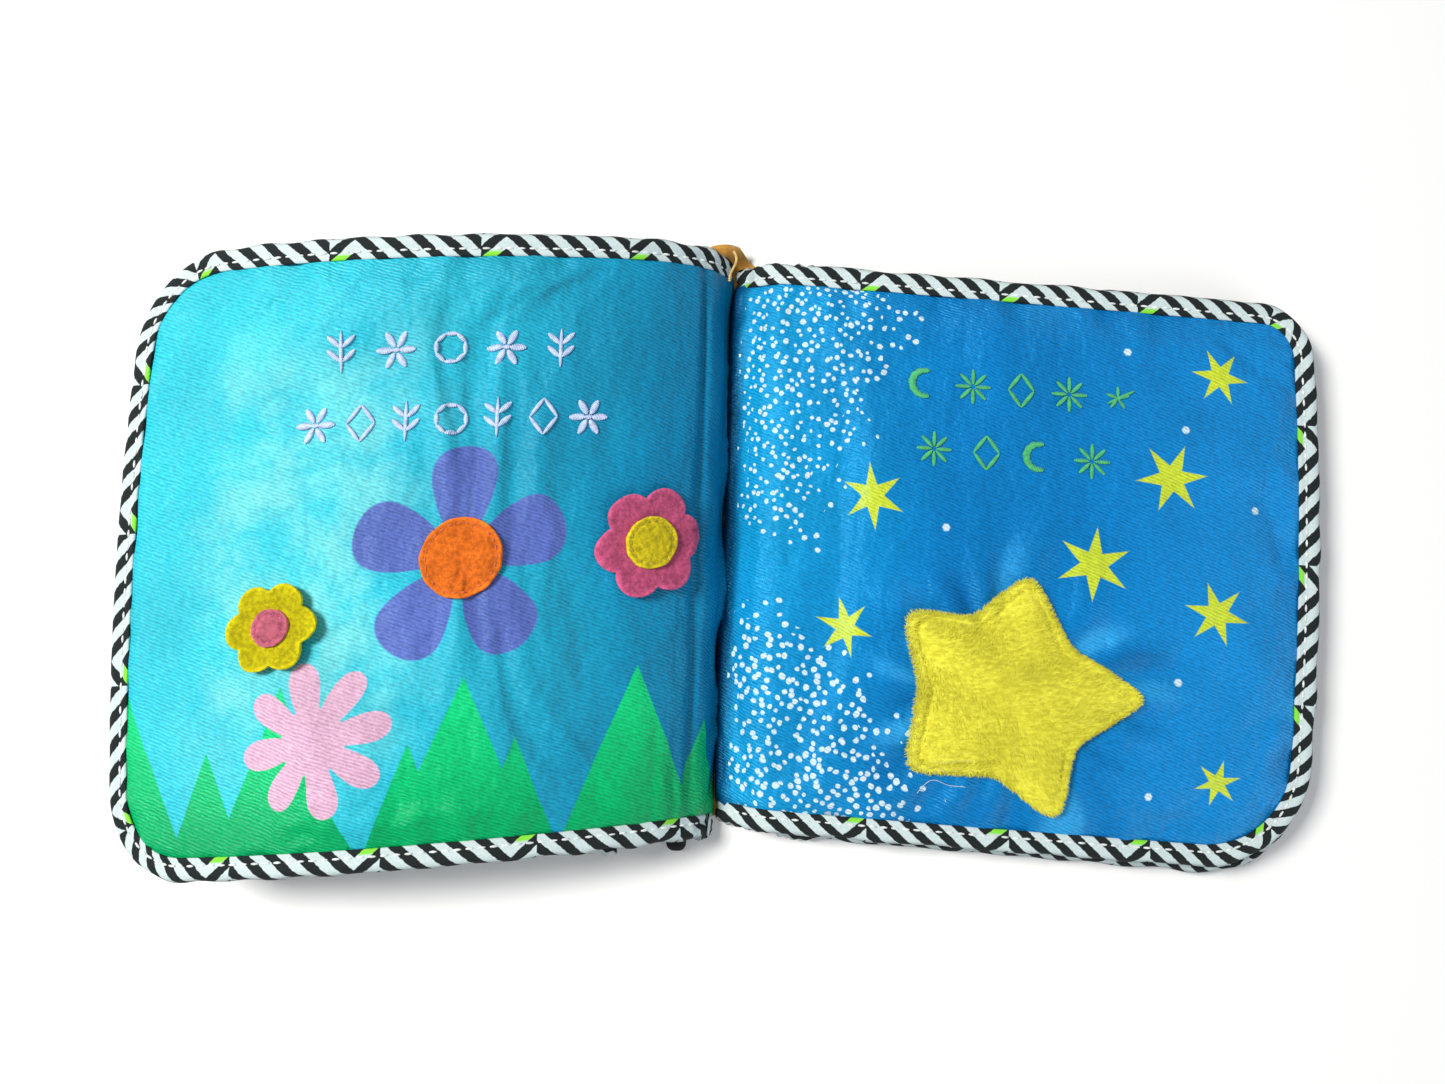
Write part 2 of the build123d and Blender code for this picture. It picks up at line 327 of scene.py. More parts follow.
def add_modifier(piece, kind, **values):
    """Add a modifier, set its values and apply it."""
    take(piece)
    item = piece.modifiers.new(kind.lower(), kind)
    for key, value in values.items():
        setattr(item, key, value)
    bpy.ops.object.modifier_apply(modifier=item.name)


def joined(pieces, name):
    """Join pieces into the first one, under a new name."""
    take(pieces[0])
    for piece in pieces[1:]:
        piece.select_set(True)
    bpy.ops.object.join()
    whole = bpy.context.object
    whole.name = whole.data.name = name
    return whole


def fade(distance, reach):
    """1 at no distance, dying away over a reach."""
    return np.exp(-distance / reach)


def hill(offset, width):
    """1 in the middle, falling off like a bell on both sides."""
    return np.exp(-((offset / width) ** 2))


def unit(vectors):
    """Rows of vectors, each of length 1."""
    return vectors / np.linalg.norm(vectors, axis=1)[:, None]


def soft_noise(values, seed, waves=5):
    """A smooth random line: sines of random length and phase, about -1 to 1."""
    draw = np.random.default_rng(seed)
    total = np.zeros_like(np.asarray(values, float))
    for _ in range(waves):
        total += np.sin(values * draw.uniform(0.6, 1.6) + draw.uniform(0, 2 * math.pi))
    return total / math.sqrt(waves * 2) * 1.2


print("helpers ready")

# %% [markdown]
# ## Shader helpers
# Materials are built from nodes in code. These small helpers add a node, link it and give back
# its output, so that a formula such as a star's outline stays readable.

# %% Shader helpers
def linear(red, green, blue):
    """A screen colour of 0 to 255 as the linear colour that shaders use."""
    out = []
    for value in (red, green, blue):
        share = value / 255
        out.append(share / 12.92 if share <= 0.04045 else ((share + 0.055) / 1.055) ** 2.4)
    return (*out, 1.0)


class Nodes:
    """Short names for adding nodes to one material or group."""

    def __init__(self, tree):
        self.tree = tree

    def add(self, kind, **settings):
        """A new node with its settings."""
        node = self.tree.nodes.new(kind)
        for key, value in settings.items():
            setattr(node, key, value)
        return node

    def feed(self, socket, value):
        """Link an output to a socket, or set the socket's value."""
        if isinstance(value, bpy.types.NodeSocket):
            self.tree.links.new(value, socket)
        elif value is not None:
            socket.default_value = value

    def math(self, operation, *values):
        """A Math node's output."""
        node = self.add("ShaderNodeMath", operation=operation)
        for socket, value in zip(node.inputs, values):
            self.feed(socket, value)
        return node.outputs[0]

    def plus(self, first, second):
        """A sum."""
        return self.math("ADD", first, second)

    def minus(self, first, second):
        """A difference."""
        return self.math("SUBTRACT", first, second)

    def times(self, first, second):
        """A product."""
        return self.math("MULTIPLY", first, second)

    def over(self, first, second):
        """A quotient."""
        return self.math("DIVIDE", first, second)

    def scaled(self, value, scale, shift):
        """A value times a scale, plus a shift."""
        return self.math("MULTIPLY_ADD", value, scale, shift)

    def vector(self, operation, first, second=None):
        """A Vector Math node."""
        node = self.add("ShaderNodeVectorMath", operation=operation)
        self.feed(node.inputs[0], first)
        if second is not None:
            self.feed(node.inputs[3 if operation == "SCALE" else 1], second)
        return node

    def mix(self, factor, first, second):
        """A colour Mix node's output."""
        node = self.add("ShaderNodeMix", data_type="RGBA")
        self.feed(node.inputs[0], factor)
        self.feed(node.inputs[6], first)
        self.feed(node.inputs[7], second)
        return node.outputs[2]

    def step(self, value, low, high, first=0.0, last=1.0):
        """A smooth step of a value between two limits."""
        node = self.add("ShaderNodeMapRange", interpolation_type="SMOOTHSTEP")
        for socket, item in zip(node.inputs, (value, low, high, first, last)):
            self.feed(socket, item)
        return node.outputs[0]

    def split(self, vector):
        """The X and Y outputs of a vector."""
        node = self.add("ShaderNodeSeparateXYZ")
        self.feed(node.inputs[0], vector)
        return node.outputs[0], node.outputs[1]

    def noise(self, vector, scale, detail=2.0, roughness=0.5):
        """A noise texture's value."""
        node = self.add("ShaderNodeTexNoise")
        self.feed(node.inputs["Vector"], vector)
        node.inputs["Scale"].default_value = scale
        node.inputs["Detail"].default_value = detail
        node.inputs["Roughness"].default_value = roughness
        return node.outputs["Fac"]

    def bump(self, height, strength, distance, normal=None):
        """A Bump node's normal."""
        node = self.add("ShaderNodeBump")
        node.inputs["Strength"].default_value = strength
        node.inputs["Distance"].default_value = distance
        self.feed(node.inputs["Height"], height)
        self.feed(node.inputs["Normal"], normal)
        return node.outputs[0]

    def group(self, tree, **values):
        """A group node with its inputs set."""
        node = self.add("ShaderNodeGroup", node_tree=tree)
        for key, value in values.items():
            self.feed(node.inputs[key], value)
        return node

    def cloth_map(self):
        """The piece's own cloth coordinates."""
        return self.add("ShaderNodeUVMap", uv_map="cloth").outputs[0]

    def object_map(self):
        """The piece's place in space, for finishes without a print."""
        return self.add("ShaderNodeTexCoord").outputs["Object"]


def new_group(name, inputs, outputs):
    """An empty shader group with named sockets."""
    tree = bpy.data.node_groups.new(name, "ShaderNodeTree")
    for title, kind in inputs:
        tree.interface.new_socket(title, in_out="INPUT", socket_type=kind)
    for title, kind in outputs:
        tree.interface.new_socket(title, in_out="OUTPUT", socket_type=kind)
    return tree, Nodes(tree), tree.nodes.new("NodeGroupInput"), tree.nodes.new("NodeGroupOutput")


FLOAT, VECTOR, COLOUR = "NodeSocketFloat", "NodeSocketVector", "NodeSocketColor"


def new_material(name, roughness, **settings):
    """A material with its Principled shader, and a Nodes helper for it."""
    material = bpy.data.materials.new(name)
    material.use_nodes = True
    shader = material.node_tree.nodes["Principled BSDF"]
    shader.inputs["Roughness"].default_value = roughness
    for key, value in settings.items():
        shader.inputs[key.replace("_", " ")].default_value = value
    return material, Nodes(material.node_tree), shader


# Which body each piece rides on, for picking out the left stack at the end.
BODY_OF = {}


def dress(piece, material, body, node=None):
    """Give a piece its material and the body that it rides on, and hide the solid that it stands for."""
    BODY_OF[piece.name] = body
    piece.data.materials.clear()
    piece.data.materials.append(material)
    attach(piece, body)
    if node:
        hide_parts(node)


print("shader helpers ready")

# %% [markdown]
# ## Motif groups
# The pages are printed with simple shapes. A shape that repeats round a centre needs only one
# of its points or petals: the angle is folded, so every point falls on the same one. The print
# sits in the cloth's UV map, so it follows each wrinkle as ink does.

# %% Folded petals and stars
def folded(kit, ins):
    """A point's place after its angle is folded into one of the motif's points."""
    offset = kit.vector("SUBTRACT", ins.outputs["Vector"], ins.outputs["Centre"]).outputs[0]
    flat = kit.vector("MULTIPLY", offset, (1, 1, 0)).outputs[0]
    radius = kit.vector("LENGTH", flat).outputs["Value"]
    across, up = kit.split(flat)
    angle = kit.plus(kit.math("ARCTAN2", up, across), ins.outputs["Turn"])
    share = kit.over(kit.times(angle, ins.outputs["Count"]), 2 * math.pi)
    wrapped = kit.minus(kit.math("FRACT", kit.plus(share, 0.5)), 0.5)
    local = kit.over(kit.times(wrapped, 2 * math.pi), ins.outputs["Count"])
    along = kit.times(radius, kit.math("COSINE", local))
    aside = kit.times(radius, kit.math("ABSOLUTE", kit.math("SINE", local)))
    return along, aside


MOTIF_INPUTS = [("Vector", VECTOR), ("Centre", VECTOR), ("Turn", FLOAT), ("Count", FLOAT),
                ("Reach", FLOAT), ("Share", FLOAT), ("Width", FLOAT)]
EDGE = 0.004

petal_tree, kit, ins, outs = new_group("petals", MOTIF_INPUTS, [("Mask", FLOAT)])
along, aside = folded(kit, ins)
half = kit.times(ins.outputs["Reach"], kit.minus(1.0, ins.outputs["Share"]))
half = kit.times(half, 0.5)
middle = kit.minus(ins.outputs["Reach"], half)
long_way = kit.over(kit.minus(along, middle), half)
flare = kit.scaled(long_way, 0.32, 0.85)
broad = kit.over(aside, kit.times(ins.outputs["Width"], flare))
away = kit.plus(kit.math("POWER", kit.math("ABSOLUTE", long_way), 2.4),
                kit.math("POWER", broad, 2.0))
kit.feed(outs.inputs["Mask"], kit.step(away, 0.94, 1.06, 1.0, 0.0))

star_tree, kit, ins, outs = new_group("pointed_star", MOTIF_INPUTS, [("Mask", FLOAT)])
along, aside = folded(kit, ins)
valley = kit.times(ins.outputs["Reach"], ins.outputs["Share"])
beta = kit.over(math.pi, ins.outputs["Count"])
valley_along = kit.times(valley, kit.math("COSINE", beta))
valley_aside = kit.times(valley, kit.math("SINE", beta))
first = kit.times(kit.minus(valley_along, ins.outputs["Reach"]), aside)
second = kit.times(valley_aside, kit.minus(along, ins.outputs["Reach"]))
inside = kit.over(kit.minus(first, second), ins.outputs["Reach"])
kit.feed(outs.inputs["Mask"], kit.step(inside, -EDGE * 0.3, EDGE * 0.3))
print("motif groups", petal_tree.name, star_tree.name)

# %% [markdown]
# ## Satin
# Satin shows a fine twill and a soft sheen that changes with each fold. One group turns the
# cloth's UV map into the twill's height and a slight change of colour. Both pages and the
# covers use it, each with its own print.

# %% Satin group
satin_tree, kit, ins, outs = new_group(
    "satin_weave", [("Vector", VECTOR), ("Colour", COLOUR), ("Lean", FLOAT)],
    [("Colour", COLOUR), ("Height", FLOAT), ("Crumple", FLOAT), ("Roughness", FLOAT)])
across, up = kit.split(ins.outputs["Vector"])
wander = kit.noise(ins.outputs["Vector"], 26.0, 2.0)
slanted = kit.plus(up, kit.times(across, ins.outputs["Lean"]))
slanted = kit.scaled(wander, 0.010, slanted)
rib = kit.math("SINE", kit.times(slanted, 2 * math.pi / 0.0094))
join = kit.add("ShaderNodeCombineXYZ")
kit.feed(join.inputs[0], kit.times(across, 60.0))
kit.feed(join.inputs[1], kit.times(slanted, 130.0))
slubs = kit.noise(join.outputs[0], 1.0, 3.0, 0.65)
height = kit.plus(rib, kit.step(slubs, 0.25, 0.75, -1.2, 1.2))
kit.feed(outs.inputs["Height"], height)
cloudy = kit.noise(ins.outputs["Vector"], 3.0, 4.0, 0.55)
shade = kit.scaled(height, 0.15, 1.0)
shade = kit.times(shade, kit.step(cloudy, 0.25, 0.75, 0.88, 1.12))
tint = kit.vector("SCALE", ins.outputs["Colour"], shade).outputs[0]
kit.feed(outs.inputs["Colour"], tint)
kit.feed(outs.inputs["Roughness"], kit.step(cloudy, 0.25, 0.8, 0.42, 0.30))
drawn_up = kit.vector("MULTIPLY", ins.outputs["Vector"], (1.0, 0.5, 0.0)).outputs[0]
kit.feed(outs.inputs["Crumple"], kit.noise(drawn_up, 11.0, 3.0, 0.5))


def finish_satin(kit, shader, cloth, colour, lean):
    """Put the weave over a printed colour and link it to the shader."""
    weave = kit.group(satin_tree, Vector=cloth, Colour=colour, Lean=lean)
    kit.feed(shader.inputs["Base Color"], weave.outputs["Colour"])
    kit.feed(shader.inputs["Roughness"], weave.outputs["Roughness"])
    creased = kit.bump(weave.outputs["Crumple"], 1.0, 1.7 * MM)
    kit.feed(shader.inputs["Normal"], kit.bump(weave.outputs["Height"], 0.5, 0.12 * MM, creased))


SATIN_LOOK = dict(Specular_IOR_Level=0.26, Specular_Tint=(0.62, 0.92, 1.0, 1.0), Anisotropic=0.3)

# %% Sky page print
sky, kit, shader = new_material("sky_satin", 0.36, **SATIN_LOOK)
cloth = kit.cloth_map()
across, up = kit.split(cloth)
# The sky runs from dark by the gutter to pale towards the fore edge. This is partly the print and partly
# painted shade, where the page slopes away from the light towards the gutter.
drift = kit.scaled(kit.noise(cloth, 1.3, 2.0), 0.5, across)
colour = kit.mix(kit.step(drift, 0.30, 1.62), linear(6, 118, 164), linear(46, 187, 206))
# Painted highlight: pale mottled patches in the left middle of the page stand in for the satin's sheen
# under the lamp.
painted_sheen_patch = kit.times(kit.step(across, 0.75, 1.12), kit.step(across, 1.38, 1.62, 1.0, 0.0))
painted_sheen_patch = kit.times(painted_sheen_patch, kit.step(kit.math("ABSOLUTE", up), 0.30, 0.72, 1.0, 0.0))
painted_sheen_patch = kit.times(painted_sheen_patch, kit.step(kit.noise(cloth, 5.0, 4.0, 0.6), 0.36, 0.66))
colour = kit.mix(kit.times(painted_sheen_patch, 0.5), colour, linear(140, 220, 214))


def motif(kit, tree, cloth, colour, ink, place, turn, count, reach, share, width=0.0):
    """Print one motif over a colour. Places and sizes are in units of 100 mm."""
    node = kit.group(tree, Vector=cloth, Centre=(*place, 0), Turn=turn, Count=float(count),
                     Reach=reach, Share=share, Width=width)
    return kit.mix(node.outputs["Mask"], colour, ink)


def on_page(leaf, distance, height):
    """A place on a page as a point of its cloth, in units of 100 mm."""
    return leaf.walk_to(distance * MM) * 10, height * MM * 10


ORANGE_AT = (68.6, -3.2)


def zigzag(kit, value, period, shift, low, high):
    """A row of even peaks along a value."""
    saw = kit.math("FRACT", kit.scaled(value, 1 / period, shift))
    peak = kit.math("ABSOLUTE", kit.scaled(saw, 2.0, -1.0))
    return kit.scaled(peak, high - low, low)


tall = zigzag(kit, across, 0.46, 0.30, -0.86, -0.34)
short = zigzag(kit, across, 0.27, 0.62, -0.84, -0.50)
tops = kit.math("MAXIMUM", tall, short)
grass = kit.step(kit.minus(tops, up), -EDGE, EDGE)
green = kit.mix(kit.step(up, -0.8, -0.4), linear(0, 158, 92), linear(14, 196, 118))
colour = kit.mix(grass, colour, green)
PETALS_AT, PETAL_BLUE = on_page(LEFT_TOP, *ORANGE_AT), linear(84, 102, 176)
colour = motif(kit, petal_tree, cloth, colour, PETAL_BLUE, PETALS_AT, -math.pi / 2, 5, 0.29, 0.16, 0.098)
DAISY_AT, DAISY_PINK = on_page(LEFT_TOP, 103, -48), linear(208, 164, 190)
colour = motif(kit, petal_tree, cloth, colour, DAISY_PINK, DAISY_AT, 0.2, 8, 0.20, 0.12, 0.042)
colour = motif(kit, star_tree, cloth, colour, DAISY_PINK, DAISY_AT, 0.2, 8, 0.085, 1.0)
finish_satin(kit, shader, cloth, colour, -0.38)
print("sky print", len(sky.node_tree.nodes), "nodes")

# %% Night page print
BLUE_SHEEN = dict(SATIN_LOOK, Specular_IOR_Level=0.8, Specular_Tint=(0.12, 0.6, 1.0, 1.0))
night, kit, shader = new_material("blue_satin", 0.36, **BLUE_SHEEN)
cloth = kit.cloth_map()
across, up = kit.split(cloth)
drift = kit.scaled(kit.noise(cloth, 1.1, 2.0), 0.6, across)
# Lighter by the gutter, where the page rolls over towards the lamp. This is partly the print's blue and
# partly a painted highlight.
colour = kit.mix(kit.step(drift, 0.2, 1.0), linear(20, 152, 206), linear(8, 114, 182))
colour = kit.mix(kit.step(drift, 1.2, 2.0), colour, linear(22, 132, 204))
# Painted shade: the page turns navy where it rolls down into the gutter, in the shadow of the higher left
# page.
colour = kit.mix(kit.step(across, 0.02, 0.080, 0.85, 0.0), colour, linear(0, 30, 72))
# Painted highlight and painted shade from the page's stored mark: lighter blue where the puckers' raised
# sides catch light, darker blue in their folds.
drawn = kit.add("ShaderNodeAttribute", attribute_name="painted_sheen").outputs["Fac"]
colour = kit.mix(kit.step(drawn, 0.05, 0.9, 0.0, 0.55), colour, linear(62, 176, 240))
colour = kit.mix(kit.step(drawn, -0.9, -0.05, 0.5, 0.0), colour, linear(4, 86, 150))
dots = kit.add("ShaderNodeTexVoronoi", voronoi_dimensions="2D")
warp = kit.add("ShaderNodeTexNoise", noise_dimensions="2D")
kit.feed(warp.inputs["Vector"], cloth)
warp.inputs["Scale"].default_value = 24.0
warped = kit.vector("MULTIPLY", warp.outputs["Color"], (0.012, 0.012, 0.0)).outputs[0]
aslant = kit.add("ShaderNodeVectorRotate", rotation_type="Z_AXIS")
kit.feed(aslant.inputs["Vector"], kit.vector("ADD", cloth, warped).outputs[0])
aslant.inputs["Angle"].default_value = 0.6
kit.feed(dots.inputs["Vector"], aslant.outputs[0])
dots.inputs["Scale"].default_value = 40.0
dots.inputs["Randomness"].default_value = 0.78
lot = kit.add("ShaderNodeSeparateColor")
kit.feed(lot.inputs[0], dots.outputs["Color"])
upper = kit.step(up, -0.05, 0.8, 0.30, 0.56)
lower = kit.step(up, -0.75, -0.1, 0.62, 0.32)
edge_line = kit.math("MAXIMUM", upper, lower)
waist = kit.step(kit.math("ABSOLUTE", kit.plus(up, 0.09)), 0.02, 0.22)
crowd = kit.step(kit.minus(edge_line, across), -0.09, 0.16)
crowd = kit.times(crowd, kit.times(waist, kit.step(across, 0.03, 0.09)))
chosen = kit.math("LESS_THAN", lot.outputs[0], kit.times(crowd, 0.86))
size = kit.scaled(lot.outputs[1], 0.14, kit.step(up, -0.15, 0.15, 0.23, 0.17))
spot = kit.step(kit.minus(size, dots.outputs["Distance"]), -0.05, 0.05)
LIME_YELLOW, DOT_WHITE = linear(196, 212, 36), linear(205, 226, 236)
colour = kit.mix(kit.times(chosen, spot), colour, DOT_WHITE)
STARS = [((41, 15), 9.5, 0.4), ((124, 27), 10.0, 0.9), ((137, -10), 9.0, 0.2), ((34, -22), 8.5, 1.3),
         ((103, 1), 10.5, 0.6), ((138, 57), 8.0, 0.1), ((139, -57), 6.5, 0.75)]
STARS += [(place, 1.1, 0.0) for place in ((128, 41), (112, 62), (127, -30), (148, 20), (120, -62), (62, 8))]
for place, reach, star_turn in STARS:
    ink, share = (LIME_YELLOW, 0.36) if reach > 2 else (DOT_WHITE, 0.9)
    centre = on_page(RIGHT_TOP, *place)
    colour = motif(kit, star_tree, cloth, colour, ink, centre, star_turn, 6, reach / 100, share)
finish_satin(kit, shader, cloth, colour, 0.35)
print("night print", len(night.node_tree.nodes), "nodes")

# %% Plain satin for covers and hidden leaves
plain, kit, shader = new_material("plain_blue_satin", 0.36, **SATIN_LOOK)
cloth = kit.cloth_map()
cloud = kit.step(kit.noise(cloth, 1.2, 2.0), 0.3, 0.7)
colour = kit.mix(cloud, linear(10, 104, 172), linear(18, 126, 192))
finish_satin(kit, shader, cloth, colour, 0.35)
print("satin ready", [item.name for item in (sky, night, plain)])

# %% [markdown]
# ## Padded pages
# Each page is a pillow: a satin skin over soft filling, sewn down under the tape. The skin is a
# grid laid over the section line. It starts a little low at the seam, and a short cloth
# simulation with some pressure lets the skin bulge and pucker between its sewn edges. Finer
# wrinkles are added after it, because the pressure would smooth them out. The right page also
# stores where its puckers catch light, and its colour paints that in: a painted highlight on
# their raised sides and painted shade in their folds.

# %% Skins
TUCK = 2.6 * MM
SEAM_HOLD, GUTTER_HOLD = 3.0 * MM, 0.4 * MM
SEAM_DIP = 2.6 * MM
SEAM_SPREAD = 4.0 * MM
# How far the simulation may move a skin, and the lowest levels of a page and of a cover's tape.
ROOM, ROOM_REACH = 1.8 * MM, 9 * MM
SIM_FRAMES, SKIN_GROWTH, SKIN_PRESSURE = 16, 0.02, 6.0
PAGE_FLOOR, TAPE_FLOOR = 1.3 * MM, 0.3 * MM


def seam_distance(leaf, walk, up, inset):
    """How far a point lies inside the leaf's outline, drawn in by an inset."""
    radius = np.where(up > 0, *leaf.corners) - inset
    side = np.abs(up) - (leaf.height / 2 - inset - radius)
    fore = walk - (leaf.length - inset - radius)
    outside = np.hypot(np.maximum(side, 0), np.maximum(fore, 0))
    return radius - outside - np.minimum(np.maximum(side, fore), 0)


def reach_up(leaf, walk, inset, corner):
    """How far the leaf reaches from its middle at a walk, less where a fore corner is round."""
    radius = leaf.corners[corner] - inset
    past = np.clip(walk - (leaf.length - inset - radius), 0, radius)
    return leaf.height / 2 - inset - radius + np.sqrt(radius**2 - past**2)


def skin(name, leaf, columns, rows, rise_at, start=0.0):
    """A skin over a leaf: a grid in cloth coordinates with its own rise off the section line."""
    inset = TAPE_WIDTH - TUCK
    piece, share, level = grid_piece(name, columns, rows)
    end = leaf.length - inset
    bend = (max(leaf.corners) - inset) / (end - start)
    knee = 1 - bend
    eased = np.where(share < knee, share, knee + bend * np.sin((share - knee) / bend * math.pi / 2))
    walk = start + np.clip(eased, 0, 1) * (end - start)
    top, bottom = (reach_up(leaf, walk, inset, corner) for corner in (0, 1))
    up = level * (top + bottom) - bottom
    inside = np.maximum(seam_distance(leaf, walk, up, inset), 0)
    move_points(piece, leaf.place(walk, up, rise_at(walk, up, inside)))
    write_uv(piece, walk, up)
    return piece, walk, up, inside


def settle(piece, pinned, room, frames, growth, pressure):
    """Let a sewn skin bulge as cloth, and keep each point within its room to move."""
    start = points_of(piece)
    group = piece.vertex_groups.new(name="sewn")
    group.add([int(item) for item in np.flatnonzero(pinned)], 1.0, "REPLACE")
    take(piece)
    cloth = piece.modifiers.new("cloth", "CLOTH")
    values = cloth.settings
    values.quality = 6
    values.mass = 0.001
    values.tension_stiffness = values.compression_stiffness = 12.0
    values.shear_stiffness = 4.0
    values.bending_stiffness = 0.02
    values.vertex_group_mass = "sewn"
    values.shrink_min = -growth
    values.use_pressure = True
    values.uniform_pressure_force = pressure
    values.effector_weights.gravity = 0
    cloth.collision_settings.use_collision = False
    cloth.point_cache.frame_start, cloth.point_cache.frame_end = 1, frames
    for number in range(1, frames + 1):
        scene.frame_set(number)
    shown = piece.evaluated_get(bpy.context.evaluated_depsgraph_get())
    ended = np.array([point.co for point in shown.data.vertices])
    piece.modifiers.remove(cloth)
    scene.frame_set(1)
    shift = ended - start
    far = np.linalg.norm(shift, axis=1)
    kept = room * np.tanh(far / np.maximum(room, 1e-9)) / np.maximum(far, 1e-9)
    move_points(piece, start + shift * kept[:, None])
    print(piece.name, "moved up to", round(float(far.max()) / MM, 2), "mm")


def page(name, leaf, top_rise, material, body, node, start=0.0, cells=1.5 * MM,
         frames=0, wrinkles=None, painted_sheen=None):
    """A padded leaf: a top skin that may be settled as cloth and wrinkled, and a plain skin below."""
    columns = int((leaf.length - start) / cells)
    rows = int(leaf.height / cells)
    upper, walk, up, inside = skin(name, leaf, columns, rows, top_rise, start)
    if frames:
        pinned = (inside < SEAM_HOLD) | (walk - start < GUTTER_HOLD)
        room = ROOM * np.clip((inside - SEAM_HOLD) / ROOM_REACH, 0, 1)
        settle(upper, pinned, room, frames, SKIN_GROWTH, SKIN_PRESSURE)
    if wrinkles:
        settled = points_of(upper)
        settled[:, 2] += wrinkles(walk, up, inside) * (1 - fade(inside, 5 * MM))
        move_points(upper, settled)
    # Store the mark of painted highlight and painted shade that the page's colour uses.
    if painted_sheen:
        marks = upper.data.attributes.new("painted_sheen", "FLOAT", "POINT")
        marks.data.foreach_set("value", painted_sheen(walk, up, inside).astype(np.float32))
    depth = -LEAF_THICKNESS

    def low_rise(walk, up, inside):
        seam = fade(inside, SEAM_SPREAD)
        return depth + SEAM_DIP * seam - (depth + 2 * SEAM_DIP) * (inside <= 0)

    lower, walk, up, inside = skin(name + "_lower", leaf, columns, rows, low_rise, start)
    edge = (inside < 1e-7) | (walk - start < 1e-7)
    border = points_of(upper)
    under = points_of(lower)
    under[edge] = border[edge]
    under[:, 2] = np.maximum(under[:, 2], PAGE_FLOOR if leaf.bow else 0.0)
    move_points(lower, under)
    whole = joined([upper, lower], name)
    outward(whole)
    dress(whole, material, body, node)
    print(name, len(whole.data.polygons), "faces")
    return whole


# %% Rise of each skin
STAR_AT = (81.0, -37.7)
STAR_WALK, STAR_UP = RIGHT_TOP.walk_to(STAR_AT[0] * MM), STAR_AT[1] * MM
# Long folds of the left page: place along the walk, lean and height, in millimetres.
LONG_FOLDS = ((46, 0.12, 0.55), (60, 0.10, 0.65), (73, -0.06, 0.75), (86, 0.07, 0.65), (101, -0.10, 0.50))


def sewn_edge(walk, inside):
    """The skin dips to its seam, in less room near the gutter."""
    return -SEAM_DIP * fade(inside, SEAM_SPREAD * (1 - 0.65 * fade(walk, 5 * MM)))


def along_edge(leaf, walk, up):
    """How far a point has come along the bound edge nearest to it."""
    return np.where(walk > leaf.length - 14 * MM, up, walk)


def about_star(walk, up, middle, swing):
    """The angle round the star, and how far a point lies beyond a five-lobed line near its edge."""
    across, higher = walk - STAR_WALK, up - STAR_UP
    angle = np.arctan2(higher, across)
    return angle, np.hypot(across, higher) - (middle + swing * np.cos(5 * angle - 0.5)) * MM


def left_rise(walk, up, inside):
    """The left page: a puffed strip by the gutter, a sewn edge, gathers, puckers and long wrinkles."""
    crease = LEFT_TOP.walk_to(7.6 * MM)
    free = 1 - fade(inside, 4 * MM)
    seam = sewn_edge(walk, inside)
    puff = 1.1 * MM * (1 - fade(inside, 16 * MM))
    beyond = np.maximum(walk - crease, 0)
    shoulder = 1.0 * MM * (1 - fade(beyond, 2.2 * MM)) * fade(beyond, 14 * MM) * free
    off_line = walk - crease - 0.5 * MM * soft_noise(up / (15 * MM), 6)
    groove = -1.4 * MM * hill(off_line, 1.1 * MM)
    ridge = (0.8 + 0.5 * soft_noise(up / (6 * MM), 9)) * MM * hill(walk / crease - 0.5, 0.3)
    wander = -0.9 * MM * (1 + soft_noise(up / (8 * MM), 10)) * hill(walk, 4 * MM)
    strip = (groove + ridge + wander) * free
    low = fade(np.maximum(up + LEFT_TOP.height / 2, 0), 17 * MM)
    gathers = 1.1 * MM * low * free * hill(walk - 17 * MM, 11 * MM)
    gathers = gathers * np.sin(walk / (1.15 * MM) + 0.8 * soft_noise(up / (9 * MM), 4))
    along = along_edge(LEFT_TOP, walk, up)
    pucker = 0.42 * MM * soft_noise(along / (2.6 * MM), 3) * fade(inside, 7 * MM)
    folds = np.zeros_like(walk)
    reach = hill(up - 40 * MM, 34 * MM)
    for middle, lean, strength in LONG_FOLDS:
        line = walk - middle * MM - lean * up + 2 * MM * np.sin(up / (11 * MM))
        folds += strength * MM * reach * hill(line, 4.2 * MM)
    broad = 0.5 * MM * soft_noise(walk / (17 * MM) + 0.6 * soft_noise(up / (24 * MM), 8), 5)
    return seam + puff + shoulder + strip + gathers + pucker + folds + broad * (1 - fade(inside, 12 * MM))


def right_rise(walk, up, inside):
    """The right page: sewn edges with puckers, and shallow dents."""
    seam = sewn_edge(walk, inside)
    puff = 1.0 * MM * (1 - fade(inside, 14 * MM))
    along = along_edge(RIGHT_TOP, walk, up)
    pucker = 0.45 * MM * soft_noise(along / (3.0 * MM), 12) * fade(inside, 8 * MM)
    broad = soft_noise(walk / (15 * MM) + 0.8 * soft_noise(up / (20 * MM), 14), 15)
    dents = 0.5 * MM * broad * (1 - fade(inside, 10 * MM))
    return seam + puff + pucker + dents


def right_wrinkles(walk, up, inside):
    """Puckers that the star's sewing draws in the satin, and more along the binding."""
    angle, beyond = about_star(walk, up, 31, 5)
    waves = np.sin(15 * angle + 1.5 * np.sin(3 * angle)) * hill(beyond - 4 * MM, 8 * MM)
    along = along_edge(RIGHT_TOP, walk, up)
    edge = soft_noise(along / (5 * MM), 17) * fade(inside, 9 * MM)
    creases = soft_noise(walk / (6 * MM) + 0.35 * up / (6 * MM) + soft_noise(up / (13 * MM), 18), 19)
    return (1.15 * waves + 0.7 * edge + 0.25 * creases) * MM


